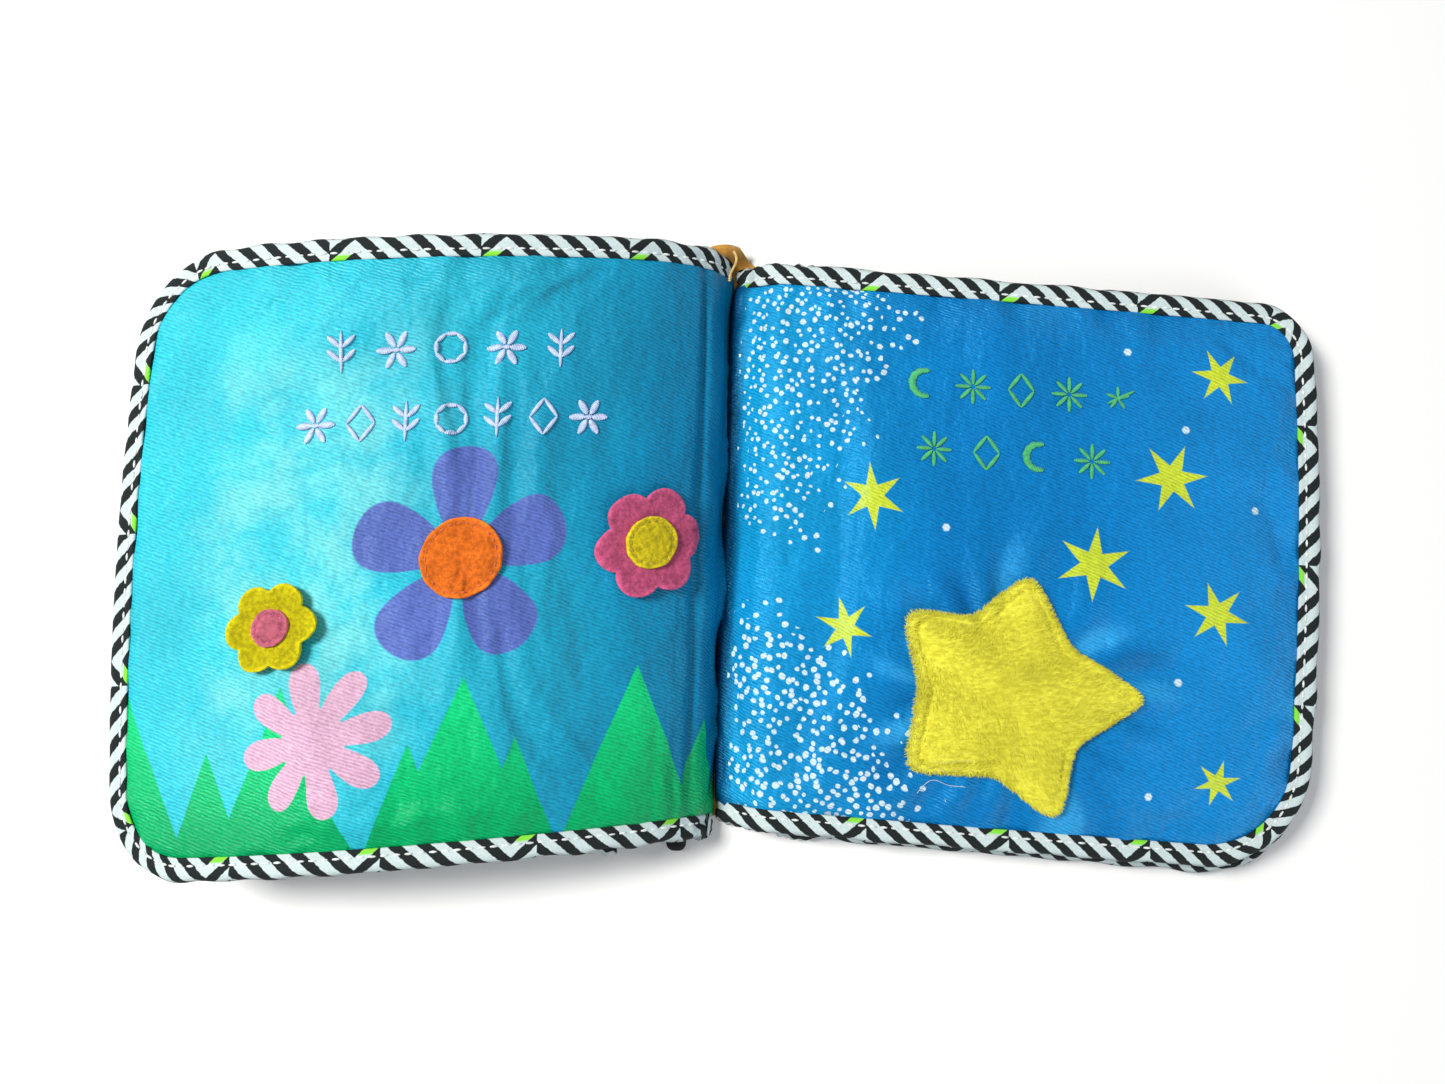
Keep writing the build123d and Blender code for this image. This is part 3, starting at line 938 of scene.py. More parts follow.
def right_painted_sheen(walk, up, inside):
    """Where the drawn satin catches light, painted into the page's colour: painted shade in the folds at
    -1, a painted highlight on the raised sides at 1.
    """
    angle, beyond = about_star(walk, up, 29, 6)
    near = hill(beyond - 5 * MM, 9 * MM) * (0.55 + 0.45 * soft_noise(4 * angle, 52))
    drawn = np.sin(9 * angle + 1.8 * np.sin(2 * angle) + 0.04 * beyond / MM) * near
    bound = soft_noise(along_edge(RIGHT_TOP, walk, up) / (6 * MM), 53)
    return drawn + 0.6 * bound * fade(inside, 10 * MM)


def left_wrinkles(walk, up, inside):
    """Slack satin: long creases above, and crumples low down towards the gutter."""
    lean = walk - 0.10 * up + 2 * MM * np.sin(up / (11 * MM))
    long_creases = soft_noise(lean / (6 * MM), 27) * hill(up - 42 * MM, 30 * MM)
    low = hill(up + 48 * MM, 30 * MM) * hill(walk - 42 * MM, 34 * MM)
    crumples = soft_noise(walk / (5 * MM) + soft_noise(up / (7 * MM), 28), 29) * low
    along = along_edge(LEFT_TOP, walk, up)
    edge = soft_noise(along / (5 * MM), 30) * fade(inside, 9 * MM)
    return (0.42 * long_creases + 0.45 * crumples + 0.5 * edge) * MM


def plain_rise(walk, up, inside):
    """A hidden leaf or a cover: sewn edges and an even filling."""
    return -SEAM_DIP * fade(inside, SEAM_SPREAD)


left_page = page("left_page", LEFT_TOP, left_rise, sky, "front_half", "left_pages",
                 cells=1.25 * MM, frames=SIM_FRAMES, wrinkles=left_wrinkles)
right_page = page("right_page", RIGHT_TOP, right_rise, night, "back_half",
                  "right_pages", frames=SIM_FRAMES, wrinkles=right_wrinkles, painted_sheen=right_painted_sheen)
for number in range(1, LEFT_LEAVES):
    page(f"left_under_page_{number}", LEFT[number], plain_rise, plain, "front_half",
         "left_pages", cells=4 * MM)
page("front_cover_pad", FRONT_COVER, plain_rise, plain, "front_half", "front_cover",
     cells=4 * MM)
page("back_cover_pad", BACK_COVER, plain_rise, plain, "back_half", "back_cover",
     cells=4 * MM)

# %% [markdown]
# ## Striped tape
# The edges are bound with a folded cotton tape in black and white stripes. It is one grid,
# swept round three sides of a leaf, with a rounded bulge outside and a stitched flap inside.
# Its UV map runs along and across the tape, so the stripes turn the corners as they should.

# %% Plain weave group
# The tape and the spine's cotton are woven plain: threads that cross over and under.
weave_tree, kit, ins, outs = new_group("plain_weave", [("Vector", VECTOR), ("Turns", FLOAT)],
                                       [("Height", FLOAT)])
waves = [kit.math("SINE", kit.times(way, ins.outputs["Turns"])) for way in kit.split(ins.outputs["Vector"])]
kit.feed(outs.inputs["Height"], kit.times(*waves))
TAPE_THREAD, COTTON_THREAD = 0.006, 0.007
print("weave group", len(weave_tree.nodes), "nodes")

# %% Tape material
tape_cloth, kit, shader = new_material("striped_tape", 0.85, Specular_IOR_Level=0.25)
cloth = kit.cloth_map()
along, aside = kit.split(cloth)
STRIPE, RUN, BACK = 0.073, 0.400, 0.066
phase = kit.times(kit.math("FRACT", kit.over(along, RUN)), RUN)
past = kit.math("MAXIMUM", kit.minus(phase, RUN - BACK), 0.0)
ramp = kit.scaled(past, -2.0, phase)
ragged = kit.scaled(kit.noise(cloth, 90.0, 2.0), 0.008, ramp)
slant = kit.minus(ragged, kit.times(aside, 1.1))
band = kit.math("FRACT", kit.over(slant, STRIPE))
dark = kit.step(kit.math("ABSOLUTE", kit.minus(band, 0.5)), 0.235, 0.265)
weave = kit.noise(cloth, 160.0, 2.0)
pale = kit.mix(weave, linear(172, 190, 192), linear(214, 228, 228))
black = kit.mix(weave, linear(8, 13, 14), linear(34, 43, 44))
colour = kit.mix(dark, black, pale)
near = kit.step(aside, 0.014, 0.022, 1.0, 0.0)
inside = kit.times(kit.math("GREATER_THAN", past, 0.004), near)
colour = kit.mix(kit.times(inside, dark), colour, linear(130, 215, 60))
# Painted shade: the tape darkens along its rounded outer fold, which turns away from the light.
fold = kit.math("ABSOLUTE", kit.minus(aside, 0.0893))
colour = kit.vector("SCALE", colour, kit.step(fold, 0.006, 0.034, 0.45, 1.0)).outputs[0]
kit.feed(shader.inputs["Base Color"], colour)
threads = kit.group(weave_tree, Vector=cloth, Turns=2 * math.pi / TAPE_THREAD).outputs["Height"]
kit.feed(shader.inputs["Normal"], kit.bump(kit.plus(threads, weave), 0.25, 0.1 * MM))

# %% Sweeping the tape
# Each pair is an inset from the leaf's outline and a rise off the middle of its thickness.
TAPE_SECTION = np.array([
    (6.6, 2.05), (6.5, 2.5), (5.6, 2.5), (4.5, 2.2), (3.5, 2.75), (2.3, 2.95), (1.1, 2.5), (0.3, 1.4),
    (0.0, 0.0), (0.3, -1.4), (1.1, -2.4), (2.3, -2.75), (3.5, -2.6), (4.5, -2.2), (5.6, -2.4),
    (6.5, -2.4), (6.6, -2.0)]) * MM
SEW_INSET = 4.5 * MM
TAPE_CLOTH = 0.45 * MM
TAPE_GATHER = 7 * MM


def outline(leaf, start, step):
    """Walk round a leaf's three bound sides: points, inward directions and lengths."""
    half, end = leaf.height / 2, leaf.length
    top, bottom = leaf.corners
    count = max(int((end - start) / step), 2)
    turns = np.linspace(0, math.pi / 2, 18)[1:-1]
    rows = [(walk, half, 0, -1) for walk in np.linspace(start, end - top, count)]
    rows += [(end - top + top * math.sin(t), half - top + top * math.cos(t),
              -math.sin(t), -math.cos(t)) for t in turns]
    rows += [(end, up, -1, 0) for up in np.linspace(half - top, bottom - half, count)]
    rows += [(end - bottom + bottom * math.cos(t), bottom - half - bottom * math.sin(t),
              -math.cos(t), math.sin(t)) for t in turns]
    rows += [(walk, -half, 0, 1) for walk in np.linspace(end - bottom, start, count)]
    table = np.array(rows)
    length = np.concatenate([[0], np.cumsum(np.linalg.norm(np.diff(table[:, :2], axis=0), axis=1))])
    return table, length


def tape(name, leaf, body, node, seed, start=0.0, step=1.1 * MM):
    """Sweep the tape's section round a leaf."""
    table, length = outline(leaf, start, step)
    rows, columns = len(table), len(TAPE_SECTION)
    piece, share, level = grid_piece(name, columns - 1, rows - 1)
    column = np.rint(share * (columns - 1)).astype(int)
    row = np.rint(level * (rows - 1)).astype(int)
    inset, rise = TAPE_SECTION[column, 0], TAPE_SECTION[column, 1]
    bulge = soft_noise(length[row] / (3.4 * MM), seed)
    ends = np.minimum(length[row], length[-1] - length[row])
    bulge = bulge + 2.6 * fade(ends, 8 * MM) * np.sin(ends / (0.62 * MM))
    outer = np.clip(1 - inset / (4.2 * MM), 0, 1)
    inset = inset + outer * 0.35 * MM * bulge
    rise = rise * (1 + 0.06 * bulge)
    walk = table[row, 0] + inset * table[row, 2]
    up = table[row, 1] + inset * table[row, 3]
    place = leaf.place(walk, up, rise - LEAF_THICKNESS / 2)
    place[:, 2] = np.maximum(place[:, 2], PAGE_FLOOR if leaf.bow else TAPE_FLOOR)
    move_points(piece, place)
    across = np.concatenate([[0], np.cumsum(np.linalg.norm(np.diff(TAPE_SECTION, axis=0), axis=1))])
    gathered = length[row] - TAPE_GATHER * fade(length[-1] - length[row], TAPE_GATHER)
    shift = (seed - 21) * 11.3 * MM if seed > 22 else 0.0
    write_uv(piece, shift - leaf.side * gathered, across[column])
    outward(piece)
    add_modifier(piece, "SOLIDIFY", thickness=TAPE_CLOTH, offset=-1.0)
    dress(piece, tape_cloth, body, node)


TAPES = [("left_page_tape", LEFT_TOP, "front_half", "left_page_bindings", 21, 0.1 * MM),
         ("right_page_tape", RIGHT_TOP, "back_half", "right_page_binding", 22, 0.1 * MM),
         ("front_cover_tape", FRONT_COVER, "front_half", "front_cover_binding", 23, 0.0),
         ("back_cover_tape", BACK_COVER, "back_half", "back_cover_binding", 24, 0.0)]
TAPES += [(f"left_under_tape_{number}", LEFT[number], "front_half", "left_page_bindings", 24 + number, 0.0)
          for number in range(1, LEFT_LEAVES)]
for title, leaf, body, node, seed, start in TAPES:
    tape(title, leaf, body, node, seed, start)
print("tapes", len(TAPES))

# %% [markdown]
# ## Laying things on a page
# Felt, plush and thread have to touch the page as it came out of the simulation. A ray is sent
# down on the page from above each point, and the point is set a little above where it hits.

# %% A page as a bed
RAY_START = 30 * MM


class Bed:
    """A finished page on which other pieces lie."""

    def __init__(self, leaf, piece):
        self.leaf = leaf
        self.tree = BVHTree.FromPolygons([point.co for point in piece.data.vertices],
                                         [face.vertices[:] for face in piece.data.polygons])

    def lay(self, walk, up, rise):
        """Points at a rise above the page's skin."""
        above = self.leaf.place(walk, up, RAY_START)
        foot = self.leaf.place(walk, up, 0.0)
        out = []
        for high, low, lift in zip(above, foot, np.broadcast_to(rise, len(above))):
            ray = Vector(low - high).normalized()
            hit = self.tree.ray_cast(Vector(high), ray)[0] or Vector(low)
            out.append(hit - ray * float(lift))
        return np.array(out)

    def axes(self, walk, up):
        """Directions along the walk, up the page and off it, at each point."""
        here = self.leaf.place(walk, up, 0.0)
        along = unit(self.leaf.place(walk + 0.2 * MM, up, 0.0) - here)
        off = unit(self.leaf.place(walk, up, 1.0 * MM) - here)
        higher = np.zeros_like(here)
        higher[:, 1] = 1.0
        return along, higher, off


LEFT_BED = Bed(LEFT_TOP, left_page)
RIGHT_BED = Bed(RIGHT_TOP, right_page)


def many(name, places, frames, segments=6, rings=4):
    """Many small balls in one mesh, each stretched and turned by its own frame of three axes."""
    piece, _, _ = ball_piece(name, segments, rings)
    ball = points_of(piece)
    faces = [list(face.vertices) for face in piece.data.polygons]
    points = np.einsum("pk,nkd->npd", ball, frames) + places[:, None, :]
    count = len(ball)
    mesh = bpy.data.meshes.new(name)
    mesh.from_pydata(points.reshape(-1, 3).tolist(), [],
                     [[item + count * number for item in face]
                      for number in range(len(places)) for face in faces])
    piece.data = mesh
    outward(piece, 0.0)
    return piece


# %% [markdown]
# ## Thread
# A seam is a row of short raised stitches with a small gap between them. Each stitch is a
# stretched ball, and a whole seam is one mesh. Thread needs little more than its colour and a
# soft sheen.

# %% Thread materials
thread_tree, kit, ins, outs = new_group("thread_shade", [("Colour", COLOUR)], [("Colour", COLOUR)])
shade = kit.step(kit.noise(kit.object_map(), 900.0, 1.0), 0.3, 0.7, 0.82, 1.12)
kit.feed(outs.inputs["Colour"], kit.vector("SCALE", ins.outputs["Colour"], shade).outputs[0])


def thread_material(name, colour):
    """Sewing thread in one colour, with a slight change from stitch to stitch."""
    material, kit, shader = new_material(name, 0.55, Sheen_Weight=0.3)
    node = kit.group(thread_tree, Colour=linear(*colour))
    kit.feed(shader.inputs["Base Color"], node.outputs["Colour"])
    return material


white_thread = thread_material("white_thread", (222, 228, 226))
orange_thread = thread_material("orange_thread", (196, 92, 30))
mustard_thread = thread_material("mustard_thread", (168, 146, 14))
pink_thread = thread_material("pink_thread", (176, 66, 108))
lilac_thread = thread_material("lilac_thread", (190, 205, 240))
green_thread = thread_material("green_thread", (62, 178, 108))


# %% Tape seams
# Half a stitch's width and height, on the tape and on felt.
TAPE_STITCH, FELT_STITCH = (0.36 * MM, 0.26 * MM), (0.3 * MM, 0.25 * MM)
TAPE_SEAM_RISE = 2.32 * MM


def tape_seam(name, leaf, body, start, side, pitch=3.1 * MM, stitch=2.3 * MM):
    """A row of stitches along a tape, on the leaf's top (side 1) or bottom (side -1)."""
    table, length = outline(leaf, start, 2.0 * MM)
    at = np.arange(pitch, length[-1] - pitch, pitch)
    rise = side * TAPE_SEAM_RISE - LEAF_THICKNESS / 2

    def sewn(where):
        walk, up, inward, aside = (np.interp(where, length, table[:, k]) for k in range(4))
        return leaf.place(walk + SEW_INSET * inward, up + SEW_INSET * aside, rise)

    places = sewn(at)
    along = unit(sewn(at + 0.4 * MM) - sewn(at - 0.4 * MM))
    aside = unit(np.cross((0.0, 0.0, 1.0), along))
    wide, high = TAPE_STITCH
    frames = np.stack([along * stitch / 2, aside * wide, np.cross(along, aside) * high], 1)
    piece = many(name, places, frames)
    dress(piece, white_thread, body)


tape_seam("left_page_seam", LEFT_TOP, "front_half", 1.2 * MM, 1)
tape_seam("right_page_seam", RIGHT_TOP, "back_half", 1.2 * MM, 1)
tape_seam("front_cover_seam", FRONT_COVER, "front_half", 0.0, -1)
tape_seam("back_cover_seam", BACK_COVER, "back_half", 0.0, -1)

# %% [markdown]
# ## Felt pieces
# Felt is cut, so its sides are square and its edge is a little fuzzy. A ball is pressed flat
# into a disc, and its radius follows a circle or six lobes. The flowers are sewn on only at
# their middle, so their petals lift off the page and cast a shadow.

# %% Felt materials
felt_tree, kit, ins, outs = new_group("felt_fibres", [("Colour", COLOUR)],
                                      [("Colour", COLOUR), ("Height", FLOAT)])
place = kit.object_map()
matted = kit.noise(place, 900.0, 3.0, 0.7)
lumps = kit.noise(place, 260.0, 2.0)
shade = kit.times(kit.step(matted, 0.3, 0.7, 0.7, 1.25), kit.step(lumps, 0.3, 0.7, 0.85, 1.12))
# Painted highlight: the felt is lighter at its cut rim, where the fuzzy edge catches light.
rim = kit.step(kit.split(kit.cloth_map())[0], 0.86, 1.0, 1.0, 1.45)
shade = kit.times(shade, rim)
kit.feed(outs.inputs["Colour"], kit.vector("SCALE", ins.outputs["Colour"], shade).outputs[0])
kit.feed(outs.inputs["Height"], kit.scaled(lumps, 1.5, matted))


def felt_material(name, colour):
    """Matted wool felt in one colour."""
    material, kit, shader = new_material(name, 0.95, Sheen_Weight=0.08, Specular_IOR_Level=0.15)
    node = kit.group(felt_tree, Colour=linear(*colour))
    kit.feed(shader.inputs["Base Color"], node.outputs["Colour"])
    kit.feed(shader.inputs["Normal"], kit.bump(node.outputs["Height"], 0.6, 0.35 * MM))
    return material


orange_felt = felt_material("orange_felt", (200, 98, 26))
pink_felt = felt_material("pink_felt", (174, 74, 110))
mustard_felt = felt_material("mustard_felt", (186, 170, 22))
yellow_felt = felt_material("yellow_felt", (174, 164, 8))
rose_felt = felt_material("rose_felt", (172, 88, 106))

# %% Felt shapes
FELT_THICKNESS, FELT_FUZZ = 1.5 * MM, 0.07 * MM
FELT_GROOVE_DEPTH, FELT_GROOVE_SHARE = 0.45 * MM, 0.06
# The felt's section from the middle of its top, over its edge, to the middle of its underside.
FELT_SHARES = (0.0, 0.38, 0.43, 0.47, 0.53, 0.57, 1.0)
FELT_RADII = (0.0, 0.93, 0.985, 1.0, 1.0, 0.985, 0.0)
FELT_HEIGHTS = (1.0, 1.0, 0.9, 0.68, 0.3, 0.0, 0.0)


def round_reach(reach):
    """A disc reaches as far at every angle."""
    return lambda angle: np.full_like(angle, reach)


def lobed_reach(reach, turn, lobes=6, lobe_share=0.41, core_share=0.62):
    """A flower reaches as far as its round lobes, or its core between them."""
    lobe = reach * lobe_share
    middle = reach - lobe

    def at(angle):
        share = ((angle - turn) * lobes / (2 * math.pi) + 0.5) % 1.0 - 0.5
        local = share * 2 * math.pi / lobes
        room = np.maximum(lobe**2 - (middle * np.sin(local)) ** 2, 0)
        return np.maximum(middle * np.cos(local) + np.sqrt(room), reach * core_share)

    return at


def felt(name, bed, place, reach_at, base, material, body, node, seed, lift=0.0, groove=None):
    """A felt piece at a place on a page, with a lift for free petals and a groove for a seam."""
    piece, angle, tilt = ball_piece(name, 108, 40)
    share = 0.5 - tilt / math.pi
    radius = np.interp(share, FELT_SHARES, FELT_RADII)
    height = np.interp(share, FELT_SHARES, FELT_HEIGHTS) * FELT_THICKNESS
    reach = reach_at(angle) * (1 + 0.014 * soft_noise(angle * 7, seed))
    across, higher = reach * radius * np.cos(angle), reach * radius * np.sin(angle)
    walk = bed.leaf.walk_to(place[0] * MM) + across
    up = place[1] * MM + higher
    wavy = 0.5 + 0.5 * soft_noise(angle * 2, seed + 1)
    rise = base + height + lift * radius**2 * (0.6 + 0.5 * wavy)
    rise = rise + FELT_FUZZ * soft_noise(across / (0.9 * MM) + higher / (1.3 * MM), seed + 2)
    if groove:
        rise = rise - FELT_GROOVE_DEPTH * hill(radius - groove, FELT_GROOVE_SHARE) * (share < 0.5)
    move_points(piece, bed.lay(walk, up, rise))
    write_uv(piece, radius * 0.1, angle * 0.1)
    outward(piece, 0.0)
    dress(piece, material, body, node)


def ring_seam(name, bed, place, reach, count, rise, material, body):
    """A ring of running stitches on a felt disc."""
    turn = np.arange(count) * 2 * math.pi / count
    walk = bed.leaf.walk_to(place[0] * MM) + reach * np.cos(turn)
    up = place[1] * MM + reach * np.sin(turn)
    along, higher, off = bed.axes(walk, up)
    ahead = -np.sin(turn)[:, None] * along + np.cos(turn)[:, None] * higher
    stitch = 2 * math.pi * reach / count * 0.36
    wide, high = FELT_STITCH
    frames = np.stack([ahead * stitch, np.cross(off, ahead) * wide, off * high], 1)
    piece = many(name, bed.lay(walk, up, rise), frames)
    dress(piece, material, body)


PINK_AT, YELLOW_AT = (20.6, -1.1), (115.4, -18.8)
ORANGE_RADIUS, ORANGE_SEAM = 10.6 * MM, 9.1 * MM
MUSTARD_RADIUS, MUSTARD_SEAM = 7.1 * MM, 5.8 * MM
ROSE_RADIUS, ROSE_SEAM = 4.9 * MM, 3.6 * MM
PINK_REACH, YELLOW_REACH = 15.2 * MM, 11.9 * MM
ON_PAGE = 0.05 * MM
SEWN_LOW = FELT_THICKNESS - 0.35 * MM
ROSE_BASE = FELT_THICKNESS + 0.3 * MM
felt("orange_disc", LEFT_BED, ORANGE_AT, round_reach(ORANGE_RADIUS), ON_PAGE, orange_felt,
     "front_half", "orange_felt_disc", 31, groove=0.86)
ring_seam("orange_disc_seam", LEFT_BED, ORANGE_AT, ORANGE_SEAM, 26, SEWN_LOW, orange_thread,
          "front_half")
felt("pink_flower", LEFT_BED, PINK_AT, lobed_reach(PINK_REACH, math.radians(-10)), ON_PAGE, pink_felt,
     "front_half", "pink_felt_flower", 33, lift=1.2 * MM)
felt("mustard_disc", LEFT_BED, PINK_AT, round_reach(MUSTARD_RADIUS), FELT_THICKNESS, mustard_felt,
     "front_half", "mustard_felt_disc", 35, groove=0.8)
ring_seam("mustard_disc_seam", LEFT_BED, PINK_AT, MUSTARD_SEAM, 19, FELT_THICKNESS + SEWN_LOW,
          mustard_thread, "front_half")
felt("yellow_flower", LEFT_BED, YELLOW_AT, lobed_reach(YELLOW_REACH, math.radians(-4)), 0.5 * MM,
     yellow_felt, "front_half", "yellow_felt_flower", 37, lift=1.7 * MM)
felt("pink_disc", LEFT_BED, YELLOW_AT, round_reach(ROSE_RADIUS), ROSE_BASE, rose_felt,
     "front_half", "pink_felt_disc", 39, groove=0.72)
ring_seam("pink_disc_seam", LEFT_BED, YELLOW_AT, ROSE_SEAM, 12, ROSE_BASE + SEWN_LOW,
          pink_thread, "front_half")
print("felt pieces on the left page")

# %% [markdown]
# ## Plush star
# The star is cut from plush and sewn down a few millimetres inside its edge, so its rim rolls
# up. Its outline joins listed tips and valleys with softened corners. Short fibres, combed
# to one side, are real thin blades, because a plush edge has to look fuzzy against the page.

# %% Star body
# Angle in degrees and reach in millimetres, by turns a tip and a valley.
STAR_POINTS = [(3.5, 38.6), (45.0, 21.0), (82.9, 35.4), (119.4, 23.6), (144.5, 38.0), (178.2, 25.4),
               (218.6, 36.8), (259.0, 22.0), (292.1, 37.2), (324.2, 21.0)]
STAR_THICKNESS = 3.4 * MM
STAR_SEAM = 3.4 * MM
STAR_LOWEST = 0.05 * MM
STAR_RIM, STAR_GROOVE_DEPTH, STAR_PUFF = 2.4 * MM, 1.3 * MM, 1.3 * MM


def star_reach():
    """The star's reach at each angle, from straight edges with softened corners."""
    fine = np.linspace(0, 2 * math.pi, 1440, endpoint=False)
    corner_angle = np.radians([item[0] for item in STAR_POINTS] + [STAR_POINTS[0][0] + 360])
    corner_reach = np.array([item[1] for item in STAR_POINTS] + [STAR_POINTS[0][1]]) * MM
    corners = np.stack([corner_reach * np.cos(corner_angle), corner_reach * np.sin(corner_angle)], 1)
    turned = (fine - corner_angle[0]) % (2 * math.pi) + corner_angle[0]
    edge = np.clip(np.searchsorted(corner_angle, turned, side="right") - 1, 0, len(STAR_POINTS) - 1)
    first, last = corners[edge], corners[edge + 1]
    ray = np.stack([np.cos(fine), np.sin(fine)], 1)
    side = last - first
    reach = (first[:, 0] * side[:, 1] - first[:, 1] * side[:, 0]) / (
        ray[:, 0] * side[:, 1] - ray[:, 1] * side[:, 0])
    window = np.exp(-(np.arange(-72, 73) / 24.0) ** 2)
    soft = np.convolve(np.concatenate([reach[-72:], reach, reach[:72]]), window / window.sum(), "valid")
    return lambda angle: np.interp(angle % (2 * math.pi), fine, soft, period=2 * math.pi)


STAR_REACH = star_reach()


def star_rise(angle, radius):
    """Height of the plush over the page: a rolled rim, a sewn groove and a soft middle."""
    edge = STAR_REACH(angle) * (1 - radius)
    rim = np.sqrt(np.clip(1 - (1 - np.clip(edge / STAR_RIM, 0, 1)) ** 2, 0, 1))
    held = 0.55 - 0.45 * np.cos(angle) + 0.25 * soft_noise(angle * 4, 46)
    groove = STAR_GROOVE_DEPTH * np.clip(held, 0.1, 1) * hill(edge - STAR_SEAM, 0.85 * MM)
    middle = STAR_PUFF * (1 - fade(np.maximum(edge - STAR_SEAM, 0), 5 * MM))
    across, higher = radius * np.cos(angle), radius * np.sin(angle)
    lumps = 0.55 * MM * soft_noise(4 * across + 2.5 * soft_noise(4 * higher, 43), 44) * rim
    return (STAR_THICKNESS - 0.9 * MM) * rim - groove + middle + lumps


plush, kit, shader = new_material("yellow_plush", 0.9, Sheen_Weight=0.5, Sheen_Roughness=0.5)
place = kit.object_map()
combed = kit.vector("MULTIPLY", place, (420.0, 1100.0, 700.0)).outputs[0]
strands = kit.noise(combed, 1.0, 3.0, 0.6)
patches = kit.noise(place, 130.0, 2.0)
colour = kit.mix(kit.step(strands, 0.3, 0.7), linear(206, 198, 34), linear(232, 229, 66))
colour = kit.mix(kit.step(patches, 0.45, 0.75, 0.0, 0.55), colour, linear(202, 196, 38))
kit.feed(shader.inputs["Base Color"], colour)
kit.feed(shader.inputs["Normal"], kit.bump(strands, 0.5, 0.4 * MM))


def star_place(angle, radius):
    """A point of the star in its page's cloth coordinates."""
    reach = STAR_REACH(angle) * radius
    return STAR_WALK + reach * np.cos(angle), STAR_UP + reach * np.sin(angle)


star, angle, tilt = ball_piece("star_body", 240, 90)
share = 0.5 - tilt / math.pi
radius = np.clip(np.interp(share, (0.0, 0.5, 1.0), (0.0, 1.0, 0.0)), 0, 1)
rise = np.where(share <= 0.5, star_rise(angle, radius), STAR_LOWEST)
walk, up = star_place(angle, radius)
move_points(star, RIGHT_BED.lay(walk, up, np.maximum(rise, STAR_LOWEST)))
outward(star, 0.0)
dress(star, plush, "back_half", "plush_star")


# %% Star fibres
def blades(name, roots, along, off, lengths, width):
    """Thin bent blades in one mesh: each leaves its root, lies over and ends in a point."""
    aside = unit(np.cross(off, along)) * (width / 2)
    reach = along * lengths[:, None]
    middle = roots + 0.5 * reach + off * 0.24 * lengths[:, None]
    tip = roots + reach + off * 0.24 * lengths[:, None]
    points = np.stack([roots - aside, roots + aside, middle + aside * 0.8, middle - aside * 0.8, tip], 1)
    faces = []
    for number in range(len(roots)):
        first = 5 * number
        faces += [[first, first + 1, first + 2, first + 3], [first + 3, first + 2, first + 4]]
    mesh = bpy.data.meshes.new(name)
    mesh.from_pydata(points.reshape(-1, 3).tolist(), [], faces)
    piece = bpy.data.objects.new(name, mesh)
    scene.collection.objects.link(piece)
    return piece


draw = np.random.default_rng(7)
FIBRES = 26000
FIBRE_LENGTHS, FIBRE_WIDTH, RIM_FIBRES = (1.0, 2.4), 0.17 * MM, 0.22
angle = draw.uniform(0, 2 * math.pi, FIBRES)
radius = np.sqrt(draw.uniform(0, 1, FIBRES))
rim = draw.uniform(0, 1, FIBRES) < RIM_FIBRES
radius[rim] = draw.uniform(0.93, 1.0, rim.sum())
walk, up = star_place(angle, radius)
roots = RIGHT_BED.lay(walk, up, np.maximum(star_rise(angle, radius), STAR_LOWEST) - 0.25 * MM)
along, higher, off = RIGHT_BED.axes(walk, up)
lean = draw.normal(0.0, 0.65, FIBRES) + 0.9 * soft_noise(up / (8 * MM) + walk / (13 * MM), 45)
outer = np.clip((radius - 0.9) / 0.1, 0, 1) * 0.8
comb = (np.cos(lean) * (1 - outer) + np.cos(angle) * outer)[:, None] * along
comb = comb + (np.sin(lean) * (1 - outer) + np.sin(angle) * outer)[:, None] * higher
comb = unit(comb + off * draw.uniform(-0.15, 0.25, FIBRES)[:, None])
lengths = draw.uniform(*FIBRE_LENGTHS, FIBRES) * MM * (1 - 0.5 * outer)
fibres = blades("star_fibres", roots, comb, off, lengths, FIBRE_WIDTH)
dress(fibres, plush, "back_half")
print("star with", FIBRES, "fibres")

# %% [markdown]
# ## Embroidered rows
# Two rows on each page are sewn in satin stitch: threads laid side by side across a small lens
# shape. A motif is a few lenses, and a row repeats motifs. Laying every thread by itself gives
# the ridges that embroidery shows up close.

# %% Motifs and rows
def ring_of(count, reach, length, width, tangent=False, turn=0.0):
    """Lenses round a centre, pointing out of it or along the ring."""
    steps = [turn + number * 2 * math.pi / count for number in range(count)]
    aim = math.pi / 2 if tangent else 0.0
    return [(reach * math.cos(t), reach * math.sin(t), length, width, t + aim) for t in steps]


BLOSSOM = ring_of(6, 3.0, 2.1, 1.15) + [(0, 0, 0.9, 0.8, 0)]
SPRIG = [(0, 0, 5.2, 0.65, math.pi / 2)] + [(side * 1.9, rise, 2.1, 0.9, side * 0.75)
                                            for side in (-1, 1) for rise in (-0.9, 2.6)]
LOZENGE = [(x * 1.8, y * 2.4, 3.0, 0.7, -x * y * 0.93) for x in (-1, 1) for y in (-1, 1)]
WREATH = ring_of(8, 3.6, 1.55, 0.75, tangent=True)
SPARK = ring_of(8, 2.9, 2.2, 0.7)
MOON = [(3.6 * math.cos(t), 3.6 * math.sin(t), 1.5, 0.6 + 0.75 * math.cos((t - math.pi) / 1.35),
         t + math.pi / 2) for t in np.linspace(math.pi - 1.5, math.pi + 1.5, 7)]
COMET = [(0.9, 0.4, 4.4, 0.6, 0.5)] + ring_of(5, 1.9, 1.5, 0.6, turn=0.3)
THREAD_PITCH, THREAD_HALF_WIDTH = 0.42 * MM, 0.3 * MM


